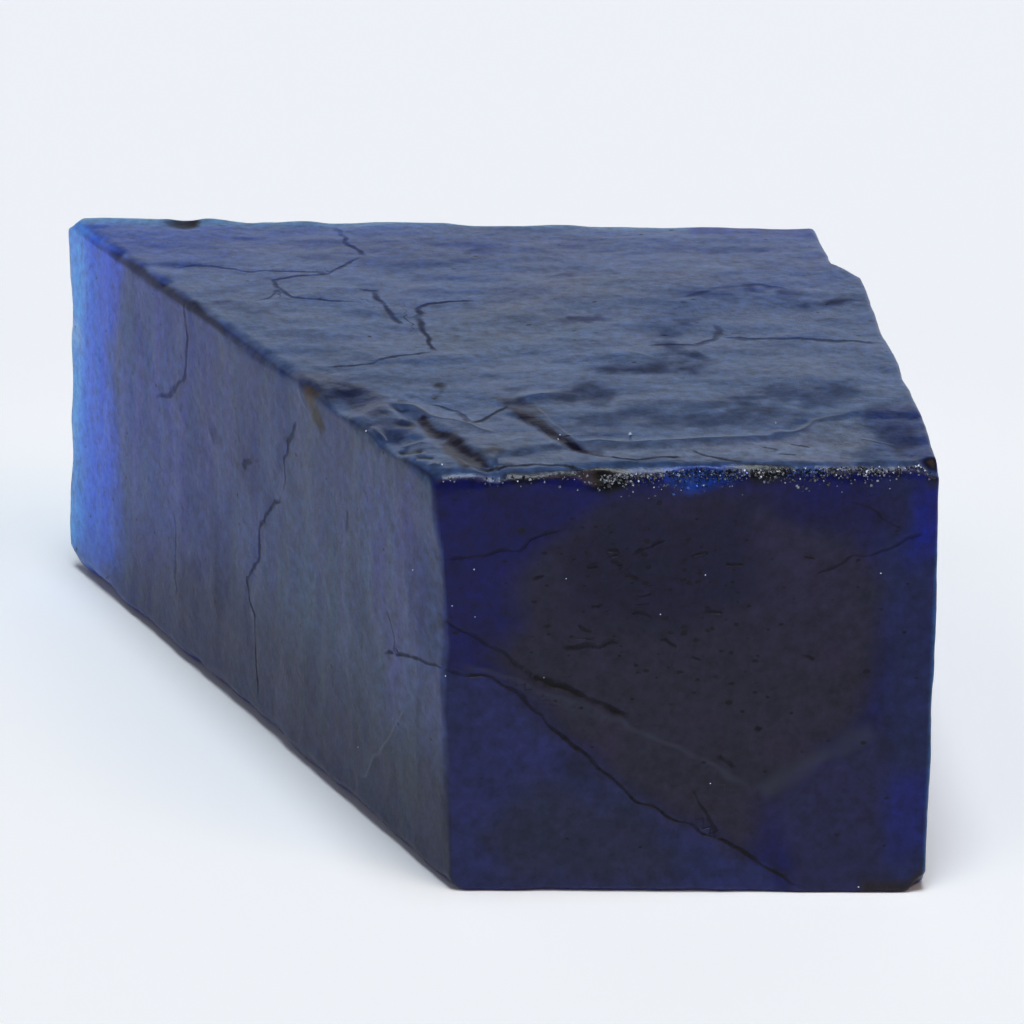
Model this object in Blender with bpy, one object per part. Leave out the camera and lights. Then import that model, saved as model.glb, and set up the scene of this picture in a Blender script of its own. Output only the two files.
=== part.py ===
# Rough tanzanite: a natural block, cleaved nearly flat on top, at the front and on its sides, with chipped
# edges. It rests on its flat underside. X is its width, Y its depth (front is -Y) and Z is up, and the
# origin is at the bottom centre of its box. Lengths are in millimetres until the mesh is made, and MM
# turns them into metres.

import bmesh
import bpy
import numpy as np

MM = 0.001

# Driving dimensions: the block's height, and the plan corners (x, y) of its top and of its underside
HEIGHT = 18.5
TOP_CORNERS = {
    "front_left": (-0.7, -18.1),
    "front_right": (19.72, -16.5),
    "back_left": (-19.4, 18.35),
    "back_right": (18.6, 16.5),
}
BASE_CORNERS = {
    "front_left": (0.05, -17.6),
    "front_right": (19.7, -17.75),
    "back_left": (-19.95, 18.25),
    "back_right": (18.8, 16.3),
}
BOX_CENTRE = (-0.159, 0.087)

# Worn edges: over this width two faces blend into each other, and the blend varies by this share
EDGE_ROUND = 0.32
EDGE_VARIES = 0.6
EDGE_LENGTH = 2.0

# The long edges at the top of the front and of the left side are broken to a narrow slope
FRONT_SLOPE = 0.4
LEFT_SLOPE = 0.28
SLOPE_VARIES = 0.5
SLOPE_LENGTH = 1.6

# The edge at the foot of the left side is worn to a slope too, less so towards the front: how wide it is
# between two places along Y
LEFT_FOOT_SLOPE = (0.32, 0.57)
LEFT_FOOT_SPAN = (-17.0, -9.0)

# Near the front edge the left side is worn in: by how much at a height (z, depth), and from how far behind
EDGE_WEAR = [
    (0.0, 0.04),
    (2.9, 0.14),
    (5.5, 0.08),
    (9.9, 0.12),
    (11.0, 0.3),
    (13.5, 0.26),
    (15.2, 0.16),
    (16.2, 0.02),
]
EDGE_WEAR_REACH = 2.6

# Along its back edge the top rises a little: by how much at a place (x, height), and from how far in front
BACK_RISE = [
    (-19.0, 0.14),
    (-12.5, 0.12),
    (-10.5, 0.02),
    (1.0, 0.0),
    (6.0, 0.05),
    (10.0, -0.03),
    (17.0, 0.03),
]
BACK_RISE_REACH = 4.0

# Broad lumps and finer lumps of the faces: height and size. The front and the left side are flatter, and
# have a smaller share of them
BROAD_LUMPS = (0.12, 9.0)
FINE_LUMPS = (0.05, 3.0)
LUMP_SHARE = {"top": 1.0, "front": 0.6, "left": 0.8, "back": 1.0, "right": 1.0}

# The lumps come from seeded values on a lattice with this many points a side, moved by this much
SEEDS = {"top": 1, "front": 3, "left": 5, "back": 7, "right": 9, "slope": 11, "edge": 13}
LATTICE_POINTS = 16
LATTICE_SHIFT = 40.0

# Scoops that chips left on edges and corners: centre (x, y, z) and radii, as ellipsoids, and how much
# their rims are eased
SCOOP_ROUND = 0.2
FRONT_EDGE_SCOOPS = [
    ((6.1, -17.9, 19.0), (1.3, 0.9, 1.5)),
    ((8.1, -17.8, 19.0), (1.2, 0.9, 1.2)),
    ((10.2, -17.7, 19.2), (1.9, 1.1, 2.0)),
    ((12.6, -17.3, 19.0), (0.9, 0.6, 0.9)),
    ((14.7, -17.2, 19.0), (1.3, 0.8, 1.3)),
    ((16.8, -17.0, 19.0), (1.0, 0.7, 1.0)),
    ((19.5, -16.4, 19.0), (1.0, 0.9, 1.2)),
]
LEFT_EDGE_SCOOPS = [
    ((-4.3, -9.3, 20.2), (2.3, 3.4, 2.1)),
    ((-2.2, -14.2, 20.2), (2.2, 3.4, 2.1)),
    ((-7.0, -6.4, 19.4), (1.0, 1.8, 1.0)),
    ((-9.1, -1.6, 19.3), (0.8, 1.5, 0.9)),
    ((-13.6, 6.9, 19.3), (0.9, 1.7, 1.0)),
]
CORNER_SCOOPS = [
    ((20.4, -18.2, -0.5), (1.7, 1.6, 1.6)),
    ((-20.4, 18.6, -0.6), (1.7, 1.8, 1.8)),
    ((-19.5, 18.3, 19.1), (1.1, 1.1, 1.1)),
    ((-20.3, 18.5, 14.0), (1.1, 1.5, 2.3)),
    ((2.2, 17.4, 19.0), (3.0, 0.8, 0.9)),
    ((19.4, 0.8, 19.2), (0.7, 2.6, 1.2)),
]

# The flake lost from the top of the right side, at the back: the depth that it took at the back and at
# its front end, where it starts, how long its slanted end is, and how far down it reaches
FLAKE_DEPTH = (1.25, 1.1)
FLAKE_START = 9.3
FLAKE_END_LENGTH = 2.4
FLAKE_REACH = 6.5

# The terrace along the front of the top: its back edge (x, y), how low it is and how wide its step is
TERRACE_EDGE = [
    (2.0, -15.6),
    (4.7, -14.4),
    (8.3, -14.8),
    (10.9, -14.2),
    (13.3, -13.4),
    (14.2, -11.8),
    (16.7, -10.8),
    (20.0, -11.0),
]
TERRACE_DROP = 0.2
TERRACE_STEP = 0.55

# The crevice at the front left corner of the top, and the wide crack beside it: route (x, y), depth and
# half width. Outside the crevice the corner has slipped down by a little
CREVICE_ROUTE = [(-1.9, -10.2), (-0.8, -12.3), (-0.1, -13.8), (0.7, -15.4), (1.9, -17.6)]
CREVICE = (0.4, 0.5)
CORNER_DROP = 0.18
TOP_CRACK_ROUTE = [(2.0, -10.4), (3.0, -11.7), (3.5, -12.6), (4.4, -14.5), (6.1, -15.9), (9.2, -16.2)]
TOP_CRACK = (0.22, 0.5)

# On the front: the open crack and the low bent ridge under it, routes (x, z), depth and half width
FRONT_CRACK_ROUTE = [(-0.1, 12.2), (2.1, 10.8), (4.5, 9.3), (7.4, 7.8)]
FRONT_CRACK = (0.15, 0.8)
FRONT_RIDGE_ROUTE = [(0.0, 10.4), (6.2, 8.0), (12.7, 4.4), (15.5, 6.4), (17.5, 7.4)]
FRONT_RIDGE = (-0.12, 1.1)

# Facets across the width, the depth and the height, how closely they crowd towards both ends, and how far
# they lean to the front and to the top
CELLS = (42, 36, 20)
CROWDING = 0.35
LEAN_TO_FRONT = 0.14
LEAN_TO_TOP = 0.1

# The surface is found along lines that start at this share of the block's size and end past its outside,
# by halving each line this many times. What is flat on the ground is within a hair of it
CORE = 0.5
LINE_END = 1.1
HALVINGS = 30
HAIR = 1e-7

# Tanzanite: deep blue with a frosted skin
STONE_COLOUR = (0.018, 0.028, 0.11, 1.0)
STONE_ROUGHNESS = 0.42
STONE_IOR = 1.69


def clear_scene():
    for thing in list(bpy.data.objects):
        bpy.data.objects.remove(thing, do_unlink=True)


def lumps(points, size, seed):
    """Smooth noise from -1 to 1: seeded values on a lattice of this size, eased between its points."""
    lattice = np.random.default_rng(seed).uniform(-1.0, 1.0, (LATTICE_POINTS,) * 3)
    place = points / size + LATTICE_SHIFT
    cell = np.floor(place).astype(int)
    ease = place - cell
    ease = ease * ease * (3.0 - 2.0 * ease)
    total = np.zeros(len(points))
    for corner in np.ndindex(2, 2, 2):
        at = (cell + corner) % LATTICE_POINTS
        share = np.prod(np.where(corner, ease, 1.0 - ease), axis=1)
        total += share * lattice[at[:, 0], at[:, 1], at[:, 2]]
    return total


def join_cuts(first, second, width):
    """The larger of two distances, eased over the given width where they are nearly the same."""
    closeness = np.maximum(width - np.abs(first - second), 0.0)
    return np.maximum(first, second) + closeness**2 / (4.0 * width)


def between_corners(corner_values, across, up):
    """Value at a share across and up a face, from its low left, low right, high left, high right."""
    low = corner_values[0] * (1.0 - across) + corner_values[1] * across
    high = corner_values[2] * (1.0 - across) + corner_values[3] * across
    return low * (1.0 - up) + high * up


def side_place(axis, names, along, z):
    """Where a side face stands, along one plan axis, at a place along the other axis and at a height."""
    ends = np.array([BASE_CORNERS[name][1 - axis] for name in names], float)
    across = (along - ends[0]) / (ends[1] - ends[0])
    values = [corners[name][axis] for corners in (BASE_CORNERS, TOP_CORNERS) for name in names]
    return between_corners(values, across, z / HEIGHT)


def route_distance(a, b, route):
    """Distance in a face from the points (a, b) to the nearest stretch of a route."""
    nearest = np.full(len(a), np.inf)
    for (a0, b0), (a1, b1) in zip(route, route[1:]):
        da, db = a1 - a0, b1 - b0
        share = np.clip(((a - a0) * da + (b - b0) * db) / (da * da + db * db), 0.0, 1.0)
        nearest = np.minimum(nearest, np.hypot(a - a0 - share * da, b - b0 - share * db))
    return nearest


def groove(a, b, route, depth_and_width):
    """Depth of a groove with round shoulders along a route, or of a ridge where the depth is negative."""
    depth, half_width = depth_and_width
    return depth * np.exp(-((route_distance(a, b, route) / half_width) ** 2))


def face_lumps(points, face):
    broad_height, broad_size = BROAD_LUMPS
    fine_height, fine_size = FINE_LUMPS
    broad = broad_height * lumps(points, broad_size, SEEDS[face])
    fine = fine_height * lumps(points, fine_size, SEEDS[face] + 1)
    return LUMP_SHARE[face] * (broad + fine)


def terrace(x, y):
    """How far the front strip of the top lies below the rest."""
    edge_x, edge_y = np.array(TERRACE_EDGE).T
    ahead = np.interp(x, edge_x, edge_y, left=edge_y[0] - 3.0) - y
    return TERRACE_DROP * np.clip(ahead / TERRACE_STEP, 0.0, 1.0)


def slipped_corner(x, y):
    """How far the front left corner, outside the crevice, lies below the rest."""
    edge_x, edge_y = np.array(CREVICE_ROUTE).T
    outside = np.interp(y, edge_y[::-1], edge_x[::-1]) - x
    started = np.clip((edge_y[0] - y) / 2.0, 0.0, 1.0)
    return CORNER_DROP * started * np.clip(outside / CREVICE[1], 0.0, 1.0)


def worn_edge(y, z):
    """How far the left side is worn in beside the front edge."""
    heights, depths = np.array(EDGE_WEAR).T
    corner = TOP_CORNERS["front_left"][1]
    near = np.clip(1.0 - (y - corner) / EDGE_WEAR_REACH, 0.0, 1.0)
    return np.interp(z, heights, depths) * near


def back_rise(x, y):
    """How far the top rises along its back edge."""
    places, heights = np.array(BACK_RISE).T
    edge = side_place(1, ("back_left", "back_right"), x, HEIGHT)
    return np.interp(x, places, heights) * np.clip(1.0 + (y - edge) / BACK_RISE_REACH, 0.0, 1.0)


def scoop(points, centre, radii):
    """Distance inside an ellipsoid, which is above zero where it takes the stone away."""
    reach = np.linalg.norm((points - centre) / np.array(radii), axis=1)
    return (1.0 - reach) * min(radii)


def lost_flake(points):
    """The flake off the top of the right side: a sheet parallel to the side, with slanted ends."""
    x, y, z = points.T
    side = side_place(0, ("front_right", "back_right"), y, z)
    depth = np.interp(y, [FLAKE_START, TOP_CORNERS["back_right"][1]], FLAKE_DEPTH[::-1])
    end = np.clip((y - FLAKE_START + FLAKE_END_LENGTH / 2.0) / FLAKE_END_LENGTH, 0.0, 1.0)
    rise = np.clip((z - HEIGHT + FLAKE_REACH) / FLAKE_REACH, 0.0, 1.0)
    return x - side + depth * end * rise


def left_side_facing():
    """Share of a step across that counts as distance from the slanting left side."""
    run = np.subtract(TOP_CORNERS["back_left"], TOP_CORNERS["front_left"])
    return run[1] / np.hypot(*run)


def stone_distance(points):
    """Below zero inside the stone and above zero outside it, near enough in millimetres."""
    x, y, z = points.T
    top = z - HEIGHT + face_lumps(points, "top") + terrace(x, y) + slipped_corner(x, y)
    top -= back_rise(x, y)
    top += groove(x, y, CREVICE_ROUTE, CREVICE)
    top += groove(x, y, TOP_CRACK_ROUTE, TOP_CRACK)
    front = side_place(1, ("front_left", "front_right"), x, z) - y + face_lumps(points, "front")
    front += groove(x, z, FRONT_CRACK_ROUTE, FRONT_CRACK)
    front += groove(x, z, FRONT_RIDGE_ROUTE, FRONT_RIDGE)
    left = (side_place(0, ("front_left", "back_left"), y, z) - x) * left_side_facing()
    left += face_lumps(points, "left") + worn_edge(y, z)
    back = y - side_place(1, ("back_left", "back_right"), x, z) + face_lumps(points, "back")
    right = x - side_place(0, ("front_right", "back_right"), y, z) + face_lumps(points, "right")

    varied = 1.0 + SLOPE_VARIES * lumps(points, SLOPE_LENGTH, SEEDS["slope"])
    front_slope = (front + top + FRONT_SLOPE * varied) * np.sqrt(0.5)
    left_slope = (left + top + LEFT_SLOPE * varied) * np.sqrt(0.5)
    foot = np.interp(y, LEFT_FOOT_SPAN, LEFT_FOOT_SLOPE)
    left_foot = (left - z + foot * varied) * np.sqrt(0.5)

    blend = EDGE_ROUND * (1.0 + EDGE_VARIES * lumps(points, EDGE_LENGTH, SEEDS["edge"]))
    inside = top
    for cut in (front, left, back, right, front_slope, left_slope, left_foot, lost_flake(points), -z):
        inside = join_cuts(inside, cut, blend)
    for centre, radii in FRONT_EDGE_SCOOPS + LEFT_EDGE_SCOOPS + CORNER_SCOOPS:
        inside = join_cuts(inside, scoop(points, centre, radii), SCOOP_ROUND)
    return inside


def block_points(shares):
    """Points of the plain block for shares from -1 to 1 of its width, depth and height."""
    across, back, up = ((shares + 1.0) / 2.0).T
    points = np.empty_like(shares)
    names = ("front_left", "front_right", "back_left", "back_right")
    for axis in (0, 1):
        base = between_corners([BASE_CORNERS[name][axis] for name in names], across, back)
        top = between_corners([TOP_CORNERS[name][axis] for name in names], across, back)
        points[:, axis] = base * (1.0 - up) + top * up
    points[:, 2] = HEIGHT * up
    return points


def crowd_to_ends(share, lean):
    """Moves evenly spaced shares towards both ends, and a little more towards the lower one."""
    share = share - lean * (1.0 - share**2)
    return (1.0 - CROWDING) * share + CROWDING * np.sin(share * np.pi / 2.0)


def onto_stone(shares):
    """Carries points of a cube along lines from the block's core to where the stone's surface is."""
    graded = np.column_stack(
        (
            crowd_to_ends(shares[:, 0], 0.0),
            crowd_to_ends(shares[:, 1], LEAN_TO_FRONT),
            crowd_to_ends(shares[:, 2], -LEAN_TO_TOP),
        )
    )
    core = block_points(graded * CORE)
    line = block_points(graded) - core
    near, far = np.zeros(len(core)), np.full(len(core), LINE_END)
    for _ in range(HALVINGS):
        middle = (near + far) / 2.0
        is_inside = stone_distance(core + line * middle[:, None]) < 0.0
        near = np.where(is_inside, middle, near)
        far = np.where(is_inside, far, middle)
    return core + line * near[:, None]


def gridded_cube():
    """A cube from -1 to 1, cut into cells one axis after another."""
    shape = bmesh.new()
    bmesh.ops.create_cube(shape, size=2.0)
    for axis, cells in enumerate(CELLS):
        along = [
            edge
            for edge in shape.edges
            if abs(edge.verts[0].co[axis] - edge.verts[1].co[axis]) > 1.0
        ]
        bmesh.ops.subdivide_edges(shape, edges=along, cuts=cells - 1, use_grid_fill=True)
    return shape


def join_flat_underside(shape):
    """Makes one fan of the cells that lie flat on the ground."""
    flat = [face for face in shape.faces if all(abs(corner.co.z) < HAIR for corner in face.verts)]
    underside = bmesh.ops.dissolve_faces(shape, faces=flat)["region"]
    bmesh.ops.poke(shape, faces=underside)


def stone_material():
    material = bpy.data.materials.new("tanzanite")
    material.use_nodes = True
    skin = material.node_tree.nodes["Principled BSDF"]
    skin.inputs["Base Color"].default_value = STONE_COLOUR
    skin.inputs["Roughness"].default_value = STONE_ROUGHNESS
    skin.inputs["Metallic"].default_value = 0.0
    skin.inputs["IOR"].default_value = STONE_IOR
    return material


def make_stone():
    shape = gridded_cube()
    shares = np.array([corner.co for corner in shape.verts], float)
    points = onto_stone(shares)
    points[:, :2] -= BOX_CENTRE
    points[:, 2] = np.maximum(points[:, 2], 0.0)
    for corner, place in zip(shape.verts, points * MM):
        corner.co = place
    join_flat_underside(shape)
    bmesh.ops.triangulate(shape, faces=shape.faces)
    bmesh.ops.recalc_face_normals(shape, faces=shape.faces)
    mesh = bpy.data.meshes.new("stone")
    shape.to_mesh(mesh)
    shape.free()
    mesh.materials.append(stone_material())
    stone = bpy.data.objects.new("stone", mesh)
    bpy.context.scene.collection.objects.link(stone)
    return stone


clear_scene()
make_stone()
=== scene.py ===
# Rough tanzanite: the look of one natural blue block on a pale floor.
# The block's form is worked out in millimetres and put into the mesh in metres.
import math

import bpy
import numpy as np
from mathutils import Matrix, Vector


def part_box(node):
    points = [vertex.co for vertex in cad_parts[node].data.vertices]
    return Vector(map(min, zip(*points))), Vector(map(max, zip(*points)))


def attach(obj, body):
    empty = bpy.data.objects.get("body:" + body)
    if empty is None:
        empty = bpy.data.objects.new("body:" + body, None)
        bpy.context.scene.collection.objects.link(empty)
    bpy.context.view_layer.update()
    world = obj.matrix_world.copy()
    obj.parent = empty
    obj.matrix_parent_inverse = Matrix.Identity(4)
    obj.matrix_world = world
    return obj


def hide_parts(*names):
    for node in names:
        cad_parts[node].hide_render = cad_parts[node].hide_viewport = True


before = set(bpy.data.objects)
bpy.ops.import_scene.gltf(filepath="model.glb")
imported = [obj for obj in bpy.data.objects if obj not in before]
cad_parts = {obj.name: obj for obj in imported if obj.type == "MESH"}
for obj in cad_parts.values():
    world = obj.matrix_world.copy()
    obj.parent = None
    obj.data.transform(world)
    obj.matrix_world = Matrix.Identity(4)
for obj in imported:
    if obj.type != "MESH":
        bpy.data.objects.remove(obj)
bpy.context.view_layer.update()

stoneLow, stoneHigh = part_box("stone")
print("frame loaded, stone", [round(side * 1000, 2) for side in stoneHigh - stoneLow], "mm")

# The block's form in mm: plan corners (x, y) of top and underside, and what rounds, breaks and flakes it
block = {
    "boxWidth": 39.543,
    "boxCentre": (-0.159, 0.087),
    "height": 18.5,
    "top": {
        "frontLeft": (-0.7, -18.1),
        "frontRight": (19.72, -16.5),
        "backLeft": (-19.4, 18.35),
        "backRight": (18.6, 16.5),
    },
    "base": {
        "frontLeft": (0.05, -17.6),
        "frontRight": (19.7, -17.75),
        "backLeft": (-19.95, 18.25),
        "backRight": (18.8, 16.3),
    },
    "edgeRound": 0.26,
    "edgeVaries": 0.6,
    "edgeLength": 2.0,
    "frontSlope": 0.4,
    "leftSlope": 0.28,
    # how wide the worn foot of the left side is between two places along Y
    "leftFootSlope": (0.32, 0.57),
    "leftFootSpan": (-17.0, -9.0),
    "slopeVaries": 0.5,
    "slopeLength": 1.6,
    # how deep the left side is worn beside the front edge, by height, and from how far behind
    "edgeWear": [
        (0.0, 0.04), (2.9, 0.14), (5.5, 0.08), (9.9, 0.12),
        (11.0, 0.3), (13.5, 0.26), (15.2, 0.16), (16.2, 0.02),
    ],
    "edgeWearReach": 2.6,
    # how much the top rises along its back edge, by x, and from how far in front
    "backRise": [
        (-19.0, 0.14), (-12.5, 0.12), (-10.5, 0.02), (1.0, 0.0), (6.0, 0.05), (10.0, -0.03), (17.0, 0.03),
    ],
    "backRiseReach": 4.0,
    # height, size and seed of the small waves there
    "backWaves": (0.07, 2.6, 15),
    # height and size of the lumps of every face, and the share of them that each face has
    "broadLumps": (0.12, 9.0),
    "fineLumps": (0.05, 3.0),
    "lumpShare": {"top": 1.0, "front": 0.6, "left": 0.8, "back": 1.0, "right": 1.0},
    "seeds": {"top": 1, "front": 3, "left": 5, "back": 7, "right": 9, "slope": 11, "edge": 13},
    "scoopRound": 0.14,
    # centre (x, y, z) and radii of the scoops that chips left
    "scoops": [
        ((6.1, -17.9, 19.1), (1.2, 0.8, 1.4)),
        ((8.1, -17.9, 19.1), (1.2, 0.8, 1.2)),
        ((10.2, -17.8, 19.3), (1.9, 0.9, 1.9)),
        ((12.6, -17.4, 19.1), (0.9, 0.6, 1.0)),
        ((14.7, -17.3, 19.1), (1.3, 0.7, 1.3)),
        ((16.8, -17.1, 19.1), (1.0, 0.7, 1.0)),
        ((19.5, -16.4, 19.0), (1.0, 0.9, 1.2)),
        ((-4.3, -9.3, 20.2), (2.3, 3.4, 2.1)),
        ((-2.2, -14.2, 20.2), (2.2, 3.4, 2.1)),
        ((-7.0, -6.4, 19.4), (1.0, 1.8, 1.0)),
        ((-9.1, -1.6, 19.3), (0.8, 1.5, 0.9)),
        ((-13.6, 6.9, 19.3), (0.9, 1.7, 1.0)),
        ((20.4, -18.2, -0.5), (1.7, 1.6, 1.6)),
        ((-20.4, 18.6, -0.6), (1.7, 1.8, 1.8)),
        ((-19.5, 18.3, 19.1), (1.1, 1.1, 1.1)),
        ((-20.3, 18.5, 14.0), (1.1, 1.5, 2.3)),
        ((2.2, 17.4, 19.0), (3.0, 0.8, 0.9)),
        ((19.4, 0.8, 19.2), (0.7, 2.6, 1.2)),
    ],
    "flakeDepth": (1.25, 1.1),
    "flakeStart": 9.3,
    "flakeEndLength": 2.4,
    "flakeReach": 6.5,
    "terraceEdge": [
        (2.0, -15.6), (4.7, -14.4), (8.3, -14.8), (10.9, -14.2),
        (13.3, -13.4), (14.2, -11.8), (16.7, -10.8), (20.0, -11.0),
    ],
    "terraceDrop": 0.1,
    "terraceStep": 0.6,
    # past its left end its edge lies this much further forward
    "terraceEnd": 3.0,
    "crevice": [(-1.9, -10.2), (-0.8, -12.3), (-0.1, -13.8), (0.7, -15.4), (1.9, -17.6)],
    "creviceDepth": 0.22,
    "creviceHalfWidth": 0.35,
    # how far the corner outside the crevice lies lower, and over what lengths that starts and eases
    "cornerDrop": 0.12,
    "cornerStart": 2.0,
    "cornerEase": 0.5,
}

mm = (stoneHigh.x - stoneLow.x) / block["boxWidth"]
corners = ("frontLeft", "frontRight", "backLeft", "backRight")


# Smooth noise from -1 to 1: seeded values on a lattice of this size in mm, eased between its points
def lumps(points, size, seed, count=16, shift=40.0):
    lattice = np.random.default_rng(seed).uniform(-1.0, 1.0, (count, count, count))
    place = points / size + shift
    cell = np.floor(place).astype(int)
    ease = place - cell
    ease = ease * ease * (3.0 - 2.0 * ease)
    total = np.zeros(len(points))
    for corner in np.ndindex(2, 2, 2):
        at = (cell + corner) % count
        share = np.prod(np.where(corner, ease, 1.0 - ease), axis=1)
        total += share * lattice[at[:, 0], at[:, 1], at[:, 2]]
    return total


# 0 below low, 1 above high, eased between
def easeStep(low, high, value):
    share = np.clip((value - low) / (high - low), 0.0, 1.0)
    return share * share * (3.0 - 2.0 * share)


# The larger of two distances, eased over the width where they are nearly the same
def joinCuts(first, second, width):
    closeness = np.maximum(width - np.abs(first - second), 0.0)
    return np.maximum(first, second) + closeness**2 / (4.0 * width)


# Value at a share across and up a face, from its low left, low right, high left and high right
def betweenCorners(values, across, up):
    low = values[0] * (1.0 - across) + values[1] * across
    high = values[2] * (1.0 - across) + values[3] * across
    return low * (1.0 - up) + high * up


# Where a side face stands along one plan axis, for a place along the other axis and a height
def sidePlace(axis, names, along, z):
    ends = [block["base"][name][1 - axis] for name in names]
    across = (along - ends[0]) / (ends[1] - ends[0])
    values = [block[level][name][axis] for level in ("base", "top") for name in names]
    return betweenCorners(values, across, z / block["height"])


# How far, in mm and with a side, the points (a, b) of a face are from a route, and the share along it
def routeDistance(a, b, route):
    nearest = np.full(len(a), np.inf)
    side = np.ones(len(a))
    along = np.zeros(len(a))
    route = np.array(route, float)
    lengths = np.hypot(*np.diff(route, axis=0).T)
    starts = np.concatenate(([0.0], np.cumsum(lengths)))
    for (a0, b0), (a1, b1), start, length in zip(route, route[1:], starts, lengths):
        da, db = a1 - a0, b1 - b0
        share = np.clip(((a - a0) * da + (b - b0) * db) / length**2, 0.0, 1.0)
        distance = np.hypot(a - a0 - share * da, b - b0 - share * db)
        closer = distance < nearest
        nearest = np.where(closer, distance, nearest)
        side = np.where(closer, np.sign((a - a0) * db - (b - b0) * da), side)
        along = np.where(closer, (start + share * length) / starts[-1], along)
    return nearest, side, along


def faceLumps(points, face):
    broadHeight, broadSize = block["broadLumps"]
    fineHeight, fineSize = block["fineLumps"]
    seed = block["seeds"][face]
    broad = broadHeight * lumps(points, broadSize, seed)
    return block["lumpShare"][face] * (broad + fineHeight * lumps(points, fineSize, seed + 1))


# How far the front strip of the top, and its front left corner, lie below the rest
def terrace(x, y):
    edgeX, edgeY = np.array(block["terraceEdge"]).T
    ahead = np.interp(x, edgeX, edgeY, left=edgeY[0] - block["terraceEnd"]) - y
    strip = block["terraceDrop"] * np.clip(ahead / block["terraceStep"], 0.0, 1.0)
    edgeX, edgeY = np.array(block["crevice"]).T
    outside = np.interp(y, edgeY[::-1], edgeX[::-1]) - x
    started = np.clip((edgeY[0] - y) / block["cornerStart"], 0.0, 1.0)
    return strip + block["cornerDrop"] * started * np.clip(outside / block["cornerEase"], 0.0, 1.0)


# The sheet that flaked off the top of the right side, at the back, with slanted ends
def lostFlake(x, y, z):
    side = sidePlace(0, ("frontRight", "backRight"), y, z)
    ends = [block["flakeStart"], block["top"]["backRight"][1]]
    depth = np.interp(y, ends, block["flakeDepth"][::-1])
    length = block["flakeEndLength"]
    end = np.clip((y - block["flakeStart"] + length / 2.0) / length, 0.0, 1.0)
    rise = np.clip((z - block["height"] + block["flakeReach"]) / block["flakeReach"], 0.0, 1.0)
    return x - side + depth * end * rise


# How deep the left side is worn beside the front edge
def wornEdge(y, z):
    near = np.clip(1.0 - (y - block["top"]["frontLeft"][1]) / block["edgeWearReach"], 0.0, 1.0)
    return np.interp(z, *np.array(block["edgeWear"]).T) * near


# How much the top rises along its back edge, with small waves there
def backRise(points):
    x, y = points[:, 0], points[:, 1]
    gap = sidePlace(1, ("backLeft", "backRight"), x, block["height"]) - y
    height, size, seed = block["backWaves"]
    waves = height * lumps(points, size, seed) * np.clip(1.0 - gap / size, 0.0, 1.0)
    rise = np.interp(x, *np.array(block["backRise"]).T)
    return rise * np.clip(1.0 - gap / block["backRiseReach"], 0.0, 1.0) + waves


# Distance from the block's surface in mm, below zero inside: the larger of the distances from its six
# faces, its two broken edges and the lost flake, eased together, less the ellipsoids of the chips
def stoneDistance(points):
    x, y, z = points.T
    top = z - block["height"] + faceLumps(points, "top") + terrace(x, y) - backRise(points)
    gap = routeDistance(x, y, block["crevice"])[0] / block["creviceHalfWidth"]
    top = top + block["creviceDepth"] * np.exp(-(gap**2))
    front = sidePlace(1, ("frontLeft", "frontRight"), x, z) - y + faceLumps(points, "front")
    run = np.subtract(block["top"]["backLeft"], block["top"]["frontLeft"])
    left = (sidePlace(0, ("frontLeft", "backLeft"), y, z) - x) * run[1] / np.hypot(*run)
    left = left + faceLumps(points, "left") + wornEdge(y, z)
    back = y - sidePlace(1, ("backLeft", "backRight"), x, z) + faceLumps(points, "back")
    right = x - sidePlace(0, ("frontRight", "backRight"), y, z) + faceLumps(points, "right")
    varied = 1.0 + block["slopeVaries"] * lumps(points, block["slopeLength"], block["seeds"]["slope"])
    frontSlope = (front + top + block["frontSlope"] * varied) * math.sqrt(0.5)
    leftSlope = (left + top + block["leftSlope"] * varied) * math.sqrt(0.5)
    foot = np.interp(y, block["leftFootSpan"], block["leftFootSlope"])
    leftFoot = (left - z + foot * varied) * math.sqrt(0.5)
    edge = lumps(points, block["edgeLength"], block["seeds"]["edge"])
    blend = block["edgeRound"] * (1.0 + block["edgeVaries"] * edge)
    inside = top
    for cut in (front, left, back, right, frontSlope, leftSlope, leftFoot, lostFlake(x, y, z), -z):
        inside = joinCuts(inside, cut, blend)
    for centre, radii in block["scoops"]:
        reach = np.linalg.norm((points - centre) / np.array(radii), axis=1)
        inside = joinCuts(inside, (1.0 - reach) * min(radii), block["scoopRound"])
    return inside


# How fine the skin is: cells across, deep and high, how they crowd to the ends, and the ring of cells
# that the underside keeps round its single flat polygon
grid = {
    "cells": (165, 160, 100),
    "crowding": 0.35,
    "leanToFront": 0.14,
    "leanToTop": 0.1,
    "core": 0.5,
    "lineFrom": 0.8,
    "lineTo": 1.08,
    "halvings": 12,
    "undersideRing": 18,
    "flatBelow": 0.002,
}


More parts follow.
